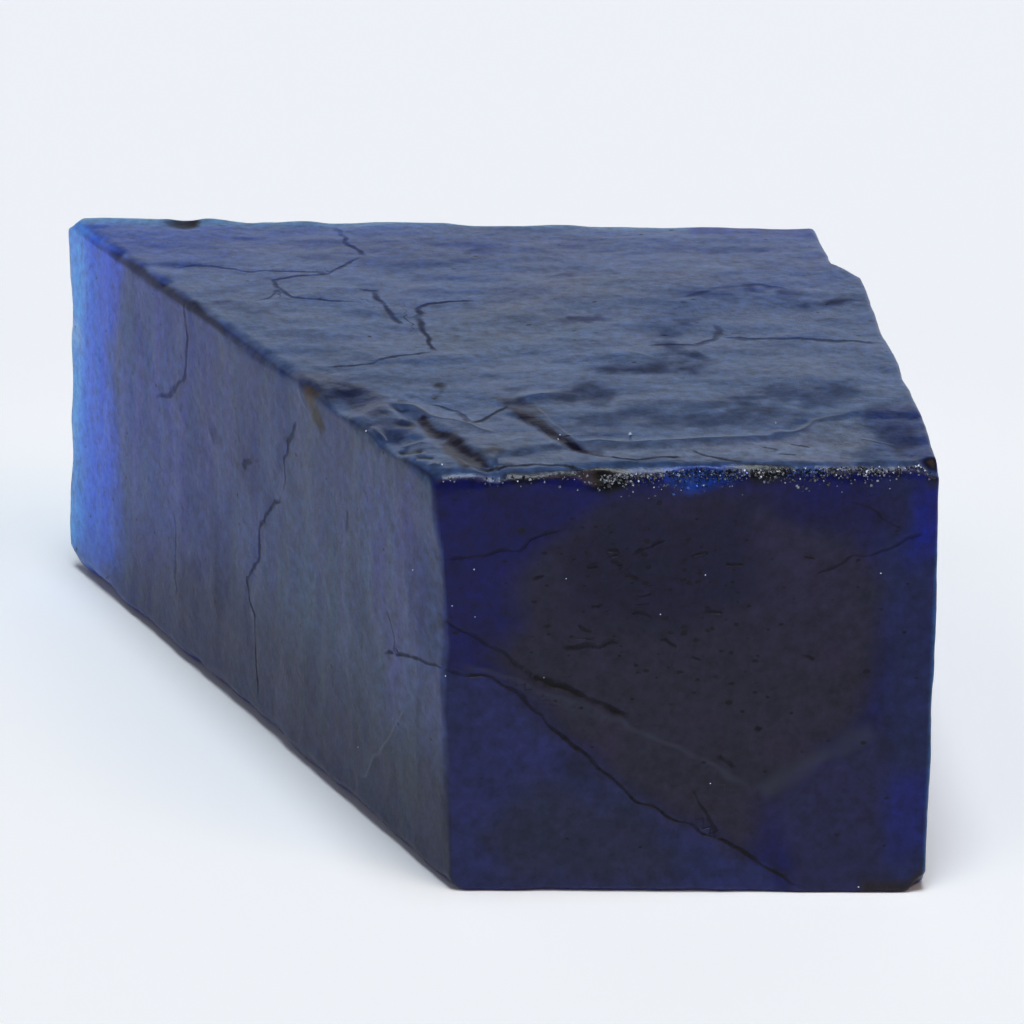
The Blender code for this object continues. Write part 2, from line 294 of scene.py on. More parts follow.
# A cube's surface as a lattice: shares from -1 to 1 and quads, sides sharing their borders, all outwards
def cubeLattice():
    cells = np.array(grid["cells"])
    onSide = np.ones(cells + 1, bool)
    onSide[1:-1, 1:-1, 1:-1] = False
    number = np.cumsum(onSide.ravel()).reshape(onSide.shape) - 1
    shares = np.argwhere(onSide) / cells * 2.0 - 1.0
    quads = []
    for axis in range(3):
        for end in (0, -1):
            side = np.take(number, end, axis=axis)
            if (end == 0) != (axis == 1):
                side = side.T
            keep = np.ones((side.shape[0] - 1, side.shape[1] - 1), bool)
            if axis == 2 and end == 0:
                underside = side
                ring = grid["undersideRing"]
                keep[ring:-ring, ring:-ring] = False
            around = (side[:-1, :-1], side[1:, :-1], side[1:, 1:], side[:-1, 1:])
            quads.append(np.stack([share[keep] for share in around], axis=1))
    inner = underside[ring:-ring, ring:-ring]
    loop = np.concatenate((inner[:-1, 0], inner[-1, :-1], inner[:0:-1, -1], inner[0, :0:-1]))
    return shares, np.concatenate(quads), loop


# Moves evenly spaced shares towards both ends, and a little more towards the lower one
def crowd(share, lean):
    share = share - lean * (1.0 - share**2)
    return (1.0 - grid["crowding"]) * share + grid["crowding"] * np.sin(share * np.pi / 2.0)


# Points of the plain block for shares of its width, depth and height
def blockPoints(shares):
    across, back, up = ((shares + 1.0) / 2.0).T
    points = np.empty_like(shares)
    for axis in (0, 1):
        low, high = (
            betweenCorners([block[level][name][axis] for name in corners], across, back)
            for level in ("base", "top")
        )
        points[:, axis] = low * (1.0 - up) + high * up
    points[:, 2] = block["height"] * up
    return points


# Carries the lattice along lines from the block's core to where the distance is zero, by halving
def ontoStone(shares):
    leans = (0.0, grid["leanToFront"], -grid["leanToTop"])
    graded = np.column_stack([crowd(shares[:, axis], lean) for axis, lean in enumerate(leans)])
    core = blockPoints(graded * grid["core"])
    line = blockPoints(graded) - core
    near, far = (np.full(len(core), grid[end]) for end in ("lineFrom", "lineTo"))
    for _ in range(grid["halvings"]):
        middle = (near + far) / 2.0
        isInside = stoneDistance(core + line * middle[:, None]) < 0.0
        near = np.where(isInside, middle, near)
        far = np.where(isInside, far, middle)
    points = core + line * near[:, None]
    points[:, 2] = np.where(points[:, 2] < grid["flatBelow"], 0.0, points[:, 2])
    return points


# Normals of the lattice's points: each quad's cross product, added up over the quads at a point
def pointNormals(points, quads):
    first, second, third, fourth = points[quads.T]
    across = np.cross(third - first, fourth - second)
    normals = np.zeros_like(points)
    for column in quads.T:
        for axis in range(3):
            normals[:, axis] += np.bincount(column, across[:, axis], len(points))
    return normals / np.maximum(np.linalg.norm(normals, axis=1), 1e-12)[:, None]


# Routes in mm that are both raised and pale, with a painted highlight along them
ridges = {
    "terrace": [
        (4.9, -14.4), (6.1, -14.2), (7.6, -14.7), (8.7, -14.6), (10.2, -14.2), (11.8, -14.1), (13.0, -13.8),
        (14.3, -12.8), (15.0, -11.8), (16.1, -11.2), (16.8, -10.7),
    ],
    "shelf": [(2.7, -9.2), (3.6, -8.7), (4.6, -8.4), (5.4, -8.7)],
    "flakeLeft": [(-3.1, -12.2), (-2.8, -12.8), (-2.5, -13.5)],
    "flakeMiddle": [(-1.9, -14.0), (-1.4, -14.1), (-0.9, -14.3)],
    "flakeBack": [(-2.0, -11.4), (-1.7, -11.4), (-1.4, -11.8)],
    "flakeFront": [(-0.7, -16.9), (-0.4, -16.8), (-0.2, -17.0)],
    "leftTrace": [(-10.6, 1.7), (-15.0, 7.0)],
}

# Low relief in mm on each face: (height, half width, route), ridges above zero and grooves below
relief = {
    "top": [
        (0.05, 0.30, [(-2.4, -9.5), (-1.5, -9.8), (-0.8, -10.8), (0.9, -12.3), (2.1, -13.5)]),
        (0.05, 0.25, ridges["shelf"]),
        (0.04, 0.22, ridges["terrace"]),
        (-0.08, 0.30, [(2.1, -10.6), (2.9, -11.5), (3.9, -13.2), (5.2, -15.1), (6.7, -16.1)]),
        (-0.07, 0.22, [(-2.57, -9.86), (-1.8, -9.9)]),
        (-0.07, 0.22, [(-2.1, -11.9), (-1.5, -12.1)]),
        (-0.06, 0.20, [(-1.5, -13.5), (-0.9, -13.6)]),
        (-0.09, 0.28, [(-1.9, -14.6), (-1.3, -15.2), (-0.9, -15.3)]),
        (-0.07, 0.22, [(-1.2, -16.0), (-0.4, -16.2)]),
        (0.05, 0.16, ridges["flakeLeft"]),
        (0.05, 0.16, ridges["flakeMiddle"]),
        (0.05, 0.16, ridges["flakeBack"]),
        (0.04, 0.16, ridges["flakeFront"]),
    ],
    "front": [
        (-0.05, 0.35, [(-0.1, 12.2), (2.1, 10.8), (4.5, 9.3), (7.4, 7.8)]),
        (0.04, 0.50, [(2.9, 9.5), (6.2, 8.0), (9.4, 6.5), (12.7, 4.4)]),
        (0.07, 0.70, [(12.7, 4.4), (14.3, 5.6), (15.5, 6.4), (17.5, 7.4)]),
    ],
    "left": [
        (-0.05, 0.30, [(-6.1, 16.5), (-4.8, 14.2), (-3.6, 11.7), (-2.0, 8.4), (-0.9, 6.0), (-1.3, 1.0)]),
        (0.03, 0.20, ridges["leftTrace"]),
    ],
}

# Routes by face, in mm, (x, y) on the top, (x, z) on the front and (y, z) on the left side: half width,
# strength and route. Cracks are the dark lines and crests the pale ones, a painted highlight along raised
# lips
lines = {
    "wander": 0.17,
    "wanderSize": 0.7,
    "breakSize": 0.6,
    "breakDepth": 0.7,
    # up to how many half widths a line's distance is kept, and the distance that stands for no line
    "reach": 4.0,
    "nowhere": 9.0,
    # the share of a route over which its ends fade, of a line and of low relief
    "endFade": 0.1,
    "reliefEndFade": 0.12,
    # the painted shade along the rounded left top edge, a dark line, by the share along it from the front:
    # its width in mm and darkness, how its width varies (share, size in mm, seed), how soft it is, and from
    # what height and slope it shows
    "leftEdgeWidth": [(0.0, 0.1), (0.3, 0.1), (0.38, 0.2), (0.6, 0.3), (0.75, 0.3), (0.9, 0.16), (1.0, 0.1)],
    "leftEdgeDark": [(0.0, 0.75), (0.35, 0.8), (0.5, 0.95), (0.85, 0.9), (0.94, 0.5), (1.0, 0.0)],
    "leftEdgeVaries": (0.7, 0.9, 45),
    "leftEdgeSoft": 0.12,
    "leftEdgeHeight": (17.3, 17.8),
    "leftEdgeSlope": (0.1, 0.3),
    "leftEdgeShade": "#121a38",
    # the clear rim at the right of the front, a painted glow: colour, width in mm, from and to how many
    # widths it fades, and the height in mm where it ends
    "rimGlowColour": "#58b0ff",
    "rimWidth": 0.2,
    "rimFade": (1.5, 0.5),
    "rimTop": 15.5,
    # the front's longest pits: both ends (x, z), half width and strength
    "longPits": [
        (8.2, 15.3, 8.7, 15.5, 0.09, 0.9), (7.5, 15.0, 8.0, 15.3, 0.08, 0.8),
        (6.3, 15.0, 6.8, 15.1, 0.08, 0.9), (6.5, 14.6, 6.9, 14.6, 0.08, 0.8),
        (5.5, 14.5, 6.0, 14.5, 0.08, 0.9), (9.9, 14.8, 10.5, 14.9, 0.08, 0.8),
        (11.0, 14.4, 11.9, 14.4, 0.09, 0.9), (7.0, 14.1, 7.8, 13.9, 0.09, 0.9),
        (3.3, 13.9, 3.8, 14.1, 0.07, 0.8), (7.7, 13.1, 8.3, 13.2, 0.07, 0.8),
        (5.6, 12.8, 6.3, 12.8, 0.07, 0.8), (7.4, 12.4, 8.2, 12.2, 0.08, 0.9),
        (10.2, 12.4, 11.0, 12.3, 0.08, 0.9), (5.2, 11.9, 5.7, 11.6, 0.09, 0.9),
        (9.7, 10.5, 10.1, 10.3, 0.07, 0.8), (8.7, 11.3, 9.3, 10.9, 0.08, 0.9),
        (12.4, 7.4, 12.7, 7.3, 0.10, 0.9), (10.7, 9.5, 11.0, 9.5, 0.08, 0.8),
        (14.3, 10.5, 14.7, 10.3, 0.07, 0.8), (14.2, 14.7, 14.6, 14.6, 0.08, 0.8),
    ],
    "cracks": {
        "top": [
            (0.13, 0.65, [(-6.0, 16.8), (-5.2, 13.5), (-4.4, 11.6)]),
            (0.11, 0.6, [(-4.4, 11.6), (-5.5, 10.0), (-5.9, 8.8), (-7.3, 8.4), (-8.6, 7.7), (-8.1, 6.2),
                (-7.5, 5.1), (-5.7, 4.6), (-3.8, 4.3)]),
            (0.10, 0.45, [(-8.2, 6.4), (-8.4, 4.9), (-9.3, 4.6)]),
            (0.12, 0.5, [(-13.5, 9.8), (-12.4, 10.1), (-11.5, 10.0), (-9.4, 9.1), (-5.9, 9.1)]),
            (0.15, 0.75, [(-4.6, 6.6), (-3.8, 6.2), (-3.4, 4.3), (-2.9, 3.1), (-2.6, 2.2), (-2.2, 0.9)]),
            (0.14, 0.8, [(1.1, 4.6), (-0.2, 4.6), (-1.1, 4.2), (-1.6, 3.6), (-1.7, 2.4), (-1.4, 0.9),
                (-1.1, -0.8), (-0.8, -2.6), (-0.6, -2.9)]),
            (0.11, 0.6, [(-0.9, -2.8), (-2.2, -3.3), (-3.5, -4.3), (-5.4, -5.0)]),
            (0.18, 0.4, [(10.2, 4.6), (12.1, 6.2), (14.0, 6.8), (15.3, 5.9)]),
            (0.18, 0.5, [(8.2, -1.9), (10.8, -1.9), (11.5, -1.0), (11.7, 0.2), (11.5, 1.3)]),
            (0.18, 0.55, [(11.7, -0.8), (13.5, -1.1), (15.2, -1.0), (17.0, -1.4), (18.7, -1.7)]),
            (0.12, 0.5, [(-0.9, -9.6), (-0.3, -9.9), (0.3, -10.5), (0.9, -12.3)]),
            (0.10, 0.7, [(0.9, -12.3), (1.5, -11.5), (1.9, -10.9), (2.4, -10.0)]),
            (0.10, 0.9, [(6.4, -16.0), (7.5, -16.6), (8.1, -16.3), (8.6, -16.2), (9.3, -16.3)]),
            (0.08, 0.8, [(9.7, -15.6), (10.8, -16.3), (11.8, -16.7)]),
            (0.12, 0.9, [(1.0, -17.3), (2.1, -17.1), (3.3, -16.9), (4.5, -17.0), (5.5, -17.4)]),
            (0.10, 0.6, [(13.6, -14.5), (14.4, -14.7)]),
            (0.10, 0.6, [(13.2, -15.6), (13.9, -15.7)]),
            (0.10, 0.5, [(12.5, -15.1), (13.2, -15.2)]),
        ],
        "front": [
            (0.07, 0.6, [(-0.2, 14.8), (0.9, 14.9), (2.1, 15.2), (2.9, 15.3), (3.3, 15.7), (4.1, 16.0),
                (4.7, 16.1)]),
            (0.09, 0.6, [(-0.1, 12.2), (0.9, 11.7), (2.1, 10.8), (3.7, 9.7)]),
            (0.13, 1.0, [(3.2, 10.1), (3.7, 9.7), (4.5, 9.3), (5.7, 8.6), (7.4, 7.8)]),
            (0.08, 1.0, [(-0.7, 10.1), (1.9, 9.6), (2.5, 9.1), (3.3, 8.6), (4.5, 7.2), (6.2, 5.6),
                (7.8, 4.2), (9.5, 3.1), (10.9, 2.5), (12.0, 2.0), (12.8, 1.3), (14.0, 0.4), (14.9, 0.2)]),
            (0.06, 0.7, [(9.9, 4.7), (10.5, 3.8), (11.0, 2.6)]),
            (0.07, 0.5, [(14.5, 13.8), (16.1, 14.6), (17.7, 15.0), (19.0, 15.7)]),
            (0.06, 0.4, [(16.0, 16.9), (17.6, 16.2), (18.2, 15.8)]),
            (0.09, 0.9, [(4.6, 11.0), (5.4, 11.0), (6.1, 11.0), (6.5, 11.3), (6.9, 11.2)]),
            (0.12, 1.0, [(10.9, 6.2), (11.4, 5.8), (11.7, 5.5)]),
        ],
        "left": [
            (0.11, 0.6, [(5.0, 18.4), (4.5, 17.7), (4.4, 16.7), (4.7, 15.4), (5.1, 14.5), (5.9, 13.8),
                (8.2, 12.5)]),
            (0.09, 0.6, [(-6.1, 16.5), (-5.4, 15.3), (-4.8, 14.2), (-4.9, 13.3), (-4.7, 12.5)]),
            (0.08, 0.75, [(-4.8, 12.7), (-4.4, 12.2), (-3.6, 11.7), (-2.5, 10.5), (-2.0, 8.4), (-1.0, 7.1),
                (-0.9, 6.0), (-1.6, 5.6), (-1.3, 4.2), (-1.3, 1.0)]),
            (0.07, 0.9, [(-13.1, 8.6), (-14.0, 9.2), (-14.8, 9.3), (-16.1, 9.7), (-17.9, 10.1)]),
            (0.06, 0.5, [(-14.0, 9.1), (-14.0, 10.1), (-13.6, 10.9)]),
            (0.20, 0.5, [(-1.9, 13.4), (-0.9, 12.4)]),
            (0.12, 0.45, [(-10.6, 14.2), (-10.3, 12.9)]),
            (0.10, 0.3, [(6.6, 3.0), (6.4, 7.4)]),
        ],
    },
    "crests": {
        "top": [
            (0.10, 0.9, ridges["terrace"]),
            (0.08, 0.6, [(16.7, -13.7), (17.4, -14.0), (18.0, -14.3)]),
            (0.09, 0.9, [(-2.4, -9.5), (-1.5, -9.8), (-0.8, -10.8), (-0.1, -11.5), (0.9, -12.3),
                (2.1, -13.5)]),
            (0.12, 0.5, ridges["shelf"]),
            (0.14, 0.4, [(7.3, -2.6), (9.4, -4.3)]),
            (0.07, 0.8, ridges["flakeLeft"]),
            (0.07, 0.8, ridges["flakeMiddle"]),
            (0.07, 0.8, ridges["flakeBack"]),
            (0.06, 0.7, [(-2.0, -14.9), (-1.6, -15.3)]),
            (0.07, 0.8, ridges["flakeFront"]),
            (0.09, 0.5, [(3.6, -10.2), (4.3, -12.4), (5.0, -14.0)]),
        ],
        "front": [
            (0.12, 0.2, [(0.0, 10.4), (2.9, 9.5), (6.2, 8.0), (9.4, 6.5), (12.7, 4.4)]),
            (0.10, 0.12, [(2.5, 9.3), (6.4, 7.6)]),
            (0.36, 0.24, [(12.6, 4.3), (14.3, 5.5), (15.5, 6.3), (17.5, 7.3)]),
        ],
        "left": [
            (0.07, 0.4, ridges["leftTrace"]),
            (0.10, 0.5, [(-5.9, 18.4), (-6.6, 17.8), (-7.4, 17.3)]),
        ],
    },
}


# 1 along a route, easing to 0 over this share of it at each end
def endFade(along, share):
    return easeStep(0.0, share, along) * easeStep(0.0, share, 1.0 - along)


# Distance with a side, in half widths, from a face's nearest line, and how strongly the line shows
def lineField(points, a, b, routes):
    shift = [lines["wander"] * lumps(points, lines["wanderSize"], seed) for seed in (31, 32)]
    nearest = np.full(len(points), lines["nowhere"])
    side = np.ones(len(points))
    strength = np.zeros(len(points))
    for halfWidth, weight, route in routes:
        distance, itsSide, along = routeDistance(a + shift[0], b + shift[1], route)
        distance = distance / halfWidth
        closer = distance < nearest
        nearest = np.where(closer, distance, nearest)
        side = np.where(closer, itsSide, side)
        strength = np.where(closer, weight * endFade(along, lines["endFade"]), strength)
    return nearest * side, strength * np.exp(-((nearest / lines["reach"]) ** 2))


# How far, from 0 to 1, each point is inside an outline on a face, eased over a softness in mm
def insideShare(a, b, outline, softness):
    closed = outline + outline[:1]
    distance = routeDistance(a, b, closed)[0]
    inside = np.zeros(len(a), bool)
    for (a0, b0), (a1, b1) in zip(closed, closed[1:]):
        spans = (b0 > b) != (b1 > b)
        inside ^= spans & (a < a0 + (b - b0) * (a1 - a0) / (b1 - b0 or 1e-9))
    return easeStep(softness, -softness, np.where(inside, -distance, distance))


# Body colours by face, each with how softly it ends in mm, how much it covers and its outline. The stone is
# violet blue,
# and much of this is painted light: the pale slate is a painted sheen for what the frosted skin mirrors of
# the bright studio, the bright blues a painted glow where light comes through thin parts, and a face's ground
# colour is painted as that face is lit, paler on the top and dark on the front. A face's ground colour shows
# where the stone faces its way, and a zone reaches further, over the bevel
zones = {
    "ownTilt": (0.6, 0.85),
    "reachTilt": (0.3, 0.6),
    "edgeWander": 0.35,
    "edgeSize": 1.5,
    "fineWander": 0.1,
    "fineSize": 0.5,
    "ground": {
        "top": "#7ea1de", "front": "#181e94", "left": "#5d83b2", "right": "#3a55b4", "back": "#4a6cc4",
    },
    "bevel": "#30448e",
    "back": [
        # these two: painted glow, light that comes through the thin back left corner and along the top of the
        # back
        ("#8fc4ff", 4.0, 1.0, [(-21.0, -1.0), (-21.0, 20.0), (-15.0, 20.0), (-16.0, -1.0)]),
        ("#78a8ff", 1.0, 0.8, [(-21.0, 16.6), (-21.0, 20.0), (2.0, 20.0), (2.0, 17.2)]),
    ],
    "top": [
        # the next three: painted glow where light comes through the thin back edge of the top and its back
        # left corner
        ("#5c88e0", 2.5, 1.0, [(-20.0, 19.0), (-20.0, 11.5), (-13.0, 10.5), (-9.0, 14.0), (-4.0, 16.0),
            (0.0, 19.0)]),
        ("#8cd0ff", 0.5, 1.0, [(-20.0, 19.2), (-20.0, 16.9), (-12.0, 16.9), (3.0, 16.5), (19.0, 15.8),
            (19.0, 19.0)]),
        ("#2b53c8", 0.3, 1.0, [(11.0, 19.0), (11.3, 15.4), (17.2, 14.6), (17.2, 19.0)]),
        ("#6380c0", 3.0, 0.6, [(-12.0, 13.0), (-2.0, 10.0), (19.0, 8.5), (19.0, 15.8), (0.0, 16.8),
            (-10.0, 17.0)]),
        ("#97add5", 2.0, 0.7, [(-3.0, -1.0), (4.0, 9.0), (13.0, 10.0), (8.0, 3.0), (2.0, -3.0)]),
        # the next two: painted sheen, the front strip of the top paler where it mirrors the bright studio
        # more strongly
        ("#b5c8f1", 0.3, 0.85, [(4.9, -14.5), (6.1, -14.4), (7.6, -14.8), (8.7, -14.7), (10.2, -14.4),
            (13.0, -14.0), (14.3, -13.0), (15.0, -12.0), (16.8, -11.0), (17.0, -14.5), (16.0, -16.6),
            (9.0, -16.4), (5.0, -15.4)]),
        ("#a6bbe4", 0.4, 0.6, [(-0.2, -11.8), (0.9, -12.4), (2.2, -13.6), (4.0, -14.6), (5.4, -16.6),
            (2.2, -16.8), (1.2, -15.2)]),
        ("#4f69c0", 0.8, 0.8, [(16.9, -10.6), (20.0, -9.5), (20.0, -17.0), (17.4, -15.4)]),
        ("#1a1012", 0.2, 0.95, [(-14.3, 18.8), (-14.2, 17.1), (-13.5, 16.6), (-12.7, 17.0),
            (-12.5, 18.8)]),
        ("#3a3a78", 0.5, 0.5, [(-9.0, -5.0), (-5.4, -5.6), (-3.6, -7.4), (-5.6, -9.2), (-9.0, -8.0)]),
        ("#3c4684", 0.25, 0.7, [(-5.0, -7.8), (-4.4, -7.2), (-3.6, -7.2), (-3.0, -8.0), (-2.5, -8.9),
            (-2.7, -9.7), (-2.3, -10.6), (-3.0, -11.0), (-3.6, -10.6), (-4.3, -9.3)]),
        ("#3c4684", 0.2, 0.5, [(-3.4, -11.6), (-1.8, -11.4), (-1.4, -12.4), (-1.6, -13.6),
            (-2.4, -13.8)]),
        ("#100c18", 0.12, 0.9, [(-2.6, -9.9), (-2.2, -9.7), (-1.8, -9.9), (-2.2, -10.0)]),
        ("#100c18", 0.12, 0.9, [(-2.1, -11.9), (-1.6, -11.8), (-1.4, -12.1), (-1.9, -12.2)]),
        ("#15142c", 0.12, 0.8, [(-1.5, -13.4), (-0.9, -13.5), (-0.9, -13.7), (-1.4, -13.7)]),
        ("#0c0a18", 0.12, 0.95, [(-1.9, -14.5), (-1.4, -14.6), (-0.7, -15.2), (-1.0, -15.6),
            (-1.6, -15.2)]),
        ("#100c18", 0.12, 0.9, [(-1.2, -15.9), (-0.4, -16.0), (-0.4, -16.3), (-1.1, -16.2)]),
        ("#241c54", 0.1, 1.0, [(-1.5, -11.1), (-1.2, -10.8), (-0.5, -12.3), (0.2, -13.4), (0.7, -14.4),
            (1.3, -15.6), (1.8, -17.2), (0.8, -17.5), (0.6, -16.5), (0.2, -15.7), (0.0, -14.9),
            (-0.3, -14.4), (-0.2, -13.6), (-0.6, -13.4), (-1.1, -12.2)]),
        ("#2c2c44", 0.3, 0.8, [(1.3, -15.6), (1.8, -14.8), (2.4, -15.1), (2.1, -15.7), (1.5, -16.2)]),
        ("#241c54", 0.2, 0.7, [(2.0, -9.0), (2.7, -9.0), (3.3, -9.5), (3.9, -10.6), (3.5, -11.4),
            (2.8, -10.6)]),
        ("#241c54", 0.1, 1.0, [(2.5, -10.0), (3.3, -10.8), (3.9, -11.6), (4.4, -13.0), (5.3, -14.7),
            (6.6, -16.0), (6.1, -16.0), (5.2, -15.3), (4.5, -14.4), (3.9, -13.2), (3.3, -11.9),
            (2.6, -10.6)]),
    ],
    "front": [
        # the next five: painted glow, light that comes through near the right edge and, under the long crack,
        # light that the crack sends back
        ("#3a4c9d", 0.8, 1.0, [(19.9, 18.6), (17.2, 17.7), (16.5, 12.7), (17.8, 10.5), (17.6, 5.8),
            (16.4, 4.0), (16.9, -0.2), (20.4, -0.2)]),
        ("#002edd", 0.7, 0.8, [(18.2, 17.9), (20.2, 17.9), (20.3, 14.3), (18.3, 14.3)]),
        ("#2a3ec8", 0.8, 0.8, [(18.4, 5.2), (20.4, 5.2), (20.6, 1.6), (18.5, 1.6), (17.2, 3.1)]),
        ("#454991", 0.7, 1.0, [(13.1, 4.0), (16.3, 6.6), (17.7, 7.5), (17.9, -0.2), (14.3, -0.2)]),
        ("#4856ad", 0.2, 1.0, [(-1.4, 10.2), (1.9, 9.7), (4.5, 7.3), (6.2, 5.6), (7.8, 4.2), (9.5, 3.1),
            (11.1, 2.4), (12.8, 1.2), (14.3, -0.2), (-1.4, -0.2)]),
        ("#4b537f", 1.0, 0.8, [(3.7, 5.0), (7.0, 4.1), (9.5, 1.8), (8.7, 0.4), (2.1, 0.4), (1.3, 2.7)]),
        ("#534e70", 0.9, 1.0, [(3.1, 14.7), (4.5, 15.9), (6.5, 17.2), (9.6, 17.5), (12.8, 17.0),
            (16.0, 15.6), (17.3, 13.1), (17.2, 9.2), (16.3, 6.9), (12.9, 4.2), (12.2, 1.8), (10.3, 2.7),
            (8.2, 3.8), (6.2, 5.5), (4.5, 7.6), (2.7, 9.3), (1.7, 10.6), (2.9, 12.1)]),
        ("#2d2b5e", 0.9, 0.9, [(4.5, 15.4), (7.0, 16.9), (12.0, 16.9), (12.4, 13.0), (9.0, 11.6),
            (4.9, 12.4)]),
        ("#2c2470", 0.5, 0.6, [(12.0, 17.4), (18.0, 16.8), (18.0, 15.3), (16.0, 15.6), (12.8, 16.8)]),
        ("#1a1440", 0.5, 0.7, [(4.7, 6.2), (5.5, 6.0), (5.5, 5.2), (4.8, 5.3)]),
        # the next two: painted shade, near black in the chip hollows of the top edge
        ("#04030a", 0.2, 1.0, [(5.4, 18.9), (7.0, 18.9), (7.1, 18.0), (6.4, 17.5), (5.6, 17.9)]),
        ("#04030a", 0.2, 1.0, [(11.5, 18.9), (13.6, 18.9), (13.4, 17.8), (12.0, 17.6)]),
        ("#141830", 0.12, 0.9, [(-1.2, 19.0), (5.6, 19.0), (5.6, 18.3), (-1.2, 18.3)]),
        # the next two: painted glow in thin chips of the top edge, where light comes through
        ("#3c80ff", 0.25, 1.0, [(8.4, 18.9), (11.5, 18.9), (11.3, 17.8), (9.6, 17.4), (8.6, 17.7)]),
        ("#3c90ff", 0.2, 1.0, [(13.8, 18.8), (14.9, 18.8), (14.8, 17.9), (14.0, 17.9)]),
        ("#4a3c38", 0.3, 0.9, [(18.7, 18.6), (19.9, 18.4), (19.9, 17.4), (18.8, 17.6)]),
        ("#4a3c38", 0.3, 0.9, [(16.7, 0.5), (18.8, 0.4), (19.6, 1.2), (19.8, -0.2), (16.7, -0.2)]),
    ],
    "left": [
        ("#7391d7", 1.5, 0.9, [(-11.5, 17.0), (-18.5, 17.0), (-18.5, 5.0), (-13.0, 5.5)]),
        # the next four: painted glow where light comes through the thin back end of the left side, bluer
        # towards its edge, with a pale painted highlight in it
        ("#6d8ea2", 1.6, 1.0, [(8.6, 20.0), (9.6, 15.3), (11.4, 11.3), (9.6, 6.6), (10.4, 3.0),
            (14.0, 1.6), (19.5, 1.0), (19.5, 20.0)]),
        ("#5c9cff", 1.0, 1.0, [(11.4, 19.5), (12.3, 16.0), (13.4, 13.4), (13.3, 11.5), (12.7, 9.1),
            (12.6, 5.5), (12.7, 1.8), (20.0, 0.6), (20.0, 19.5)]),
        ("#6cbcff", 0.9, 1.0, [(16.0, 19.5), (15.7, 15.3), (17.0, 12.6), (16.6, 9.6), (17.0, 4.2),
            (17.6, 1.2), (20.0, 1.2), (20.0, 19.5)]),
        ("#e8f4ff", 0.5, 0.3, [(17.2, 13.2), (16.6, 12.6), (17.2, 12.0), (20.0, 12.2), (20.0, 13.2)]),
        ("#80684f", 0.25, 1.0, [(-6.7, 18.6), (-7.2, 17.9), (-7.6, 17.5), (-8.3, 17.5), (-8.1, 18.4)]),
        ("#1c1014", 0.2, 1.0, [(-7.7, 17.9), (-7.9, 17.2), (-8.5, 16.9), (-9.0, 17.2), (-8.6, 17.9)]),
        ("#5c4a48", 0.25, 0.8, [(-9.4, 4.5), (-9.9, 4.6), (-9.9, 3.8), (-9.5, 3.8)]),
        ("#46507c", 0.4, 0.5, [(-8.4, 10.7), (-8.9, 10.6), (-8.8, 10.1), (-8.3, 10.1)]),
        ("#46507c", 0.8, 0.5, [(-1.0, 13.6), (-2.0, 13.0), (-1.2, 11.8), (-0.3, 12.6)]),
        # painted shade, darker towards the bottom of the left side
        ("#1a3274", 2.5, 0.9, [(-19.5, 5.5), (-19.5, -3.0), (13.0, -3.0), (12.0, 5.0), (0.0, 6.5)]),
    ],
}

# Soft spots by face: centre and radii in mm, turn in degrees, how deep they sink in mm, how dark they are
# and how dull their skin is
spots = {
    "stain": "#130d12",
    # where a spot's rim eases, in radii, and how many times as much as a zone's its outline wanders
    "rim": (1.6, 0.6),
    "wander": 2.0,
    # how patchy the stain is: its base and top, and each layer's amount, size in mm and seed
    "patchyFrom": 0.8,
    "patchyTo": 1.2,
    "patchy": [(0.9, 1.1, 46), (0.7, 0.45, 47)],
    "top": [
        ((-13.4, 17.2), (0.75, 0.8), 0, 0.15, 1.0, 0.5),
        ((16.6, 4.2), (1.3, 0.5), 10, 0.0, 0.45, 0.8),
        ((17.7, 4.3), (0.7, 0.5), 0, 0.0, 0.45, 0.8),
        ((9.7, 2.0), (1.3, 0.6), 0, 0.0, 0.4, 0.7),
        ((9.2, -0.6), (0.5, 2.2), 10, 0.0, 0.3, 0.7),
        ((6.0, 2.0), (0.9, 0.5), 20, 0.0, 0.4, 0.7),
        ((1.5, 12.6), (1.0, 0.5), 0, 0.0, 0.3, 0.5),
        ((8.4, -5.5), (2.0, 0.9), 12, 0.0, 0.5, 1.0),
        ((9.9, -4.0), (1.0, 0.6), 0, 0.0, 0.5, 1.0),
        ((-4.43, -7.23), (0.25, 0.25), 0, 0.03, 0.7, 0.4),
        ((-1.73, -8.78), (0.25, 0.25), 0, 0.03, 0.7, 0.4),
        ((-0.43, -7.23), (0.4, 0.25), 0, 0.03, 0.7, 0.4),
        ((-0.3, -8.2), (0.12, 0.7), 0, 0.0, 0.4, 0.4),
        ((5.9, -8.7), (0.9, 0.9), 0, 0.0, 0.4, 0.8),
        ((13.2, 5.4), (2.6, 0.9), 4, 0.0, 0.3, 0.7),
        ((14.0, -9.4), (3.0, 1.2), 20, 0.0, 0.3, 0.9),
        ((9.5, -11.6), (4.5, 1.4), 6, 0.0, 0.25, 0.8),
        ((4.8, 8.5), (0.7, 0.4), 0, 0.0, 0.3, 0.4),
        ((2.7, -8.0), (0.5, 0.4), 0, 0.0, 0.3, 0.4),
        ((-10.0, 3.8), (1.6, 0.5), -30, 0.0, 0.35, 0.5),
        ((17.8, -13.0), (1.0, 2.6), 0, 0.0, 0.3, 0.5),
    ],
    "left": [
        ((-4.8, 4.5), (0.4, 0.5), 0, 0.0, 0.5, 0.3),
        ((1.7, 13.0), (0.5, 0.6), 0, 0.0, 0.35, 0.3),
        ((-17.3, 11.9), (0.25, 0.3), 0, 0.0, 0.5, 0.2),
        ((-13.1, 11.7), (0.2, 0.4), 0, 0.0, 0.5, 0.2),
        ((3.0, 7.0), (2.2, 4.0), 0, 0.0, 0.15, 0.3),
    ],
}

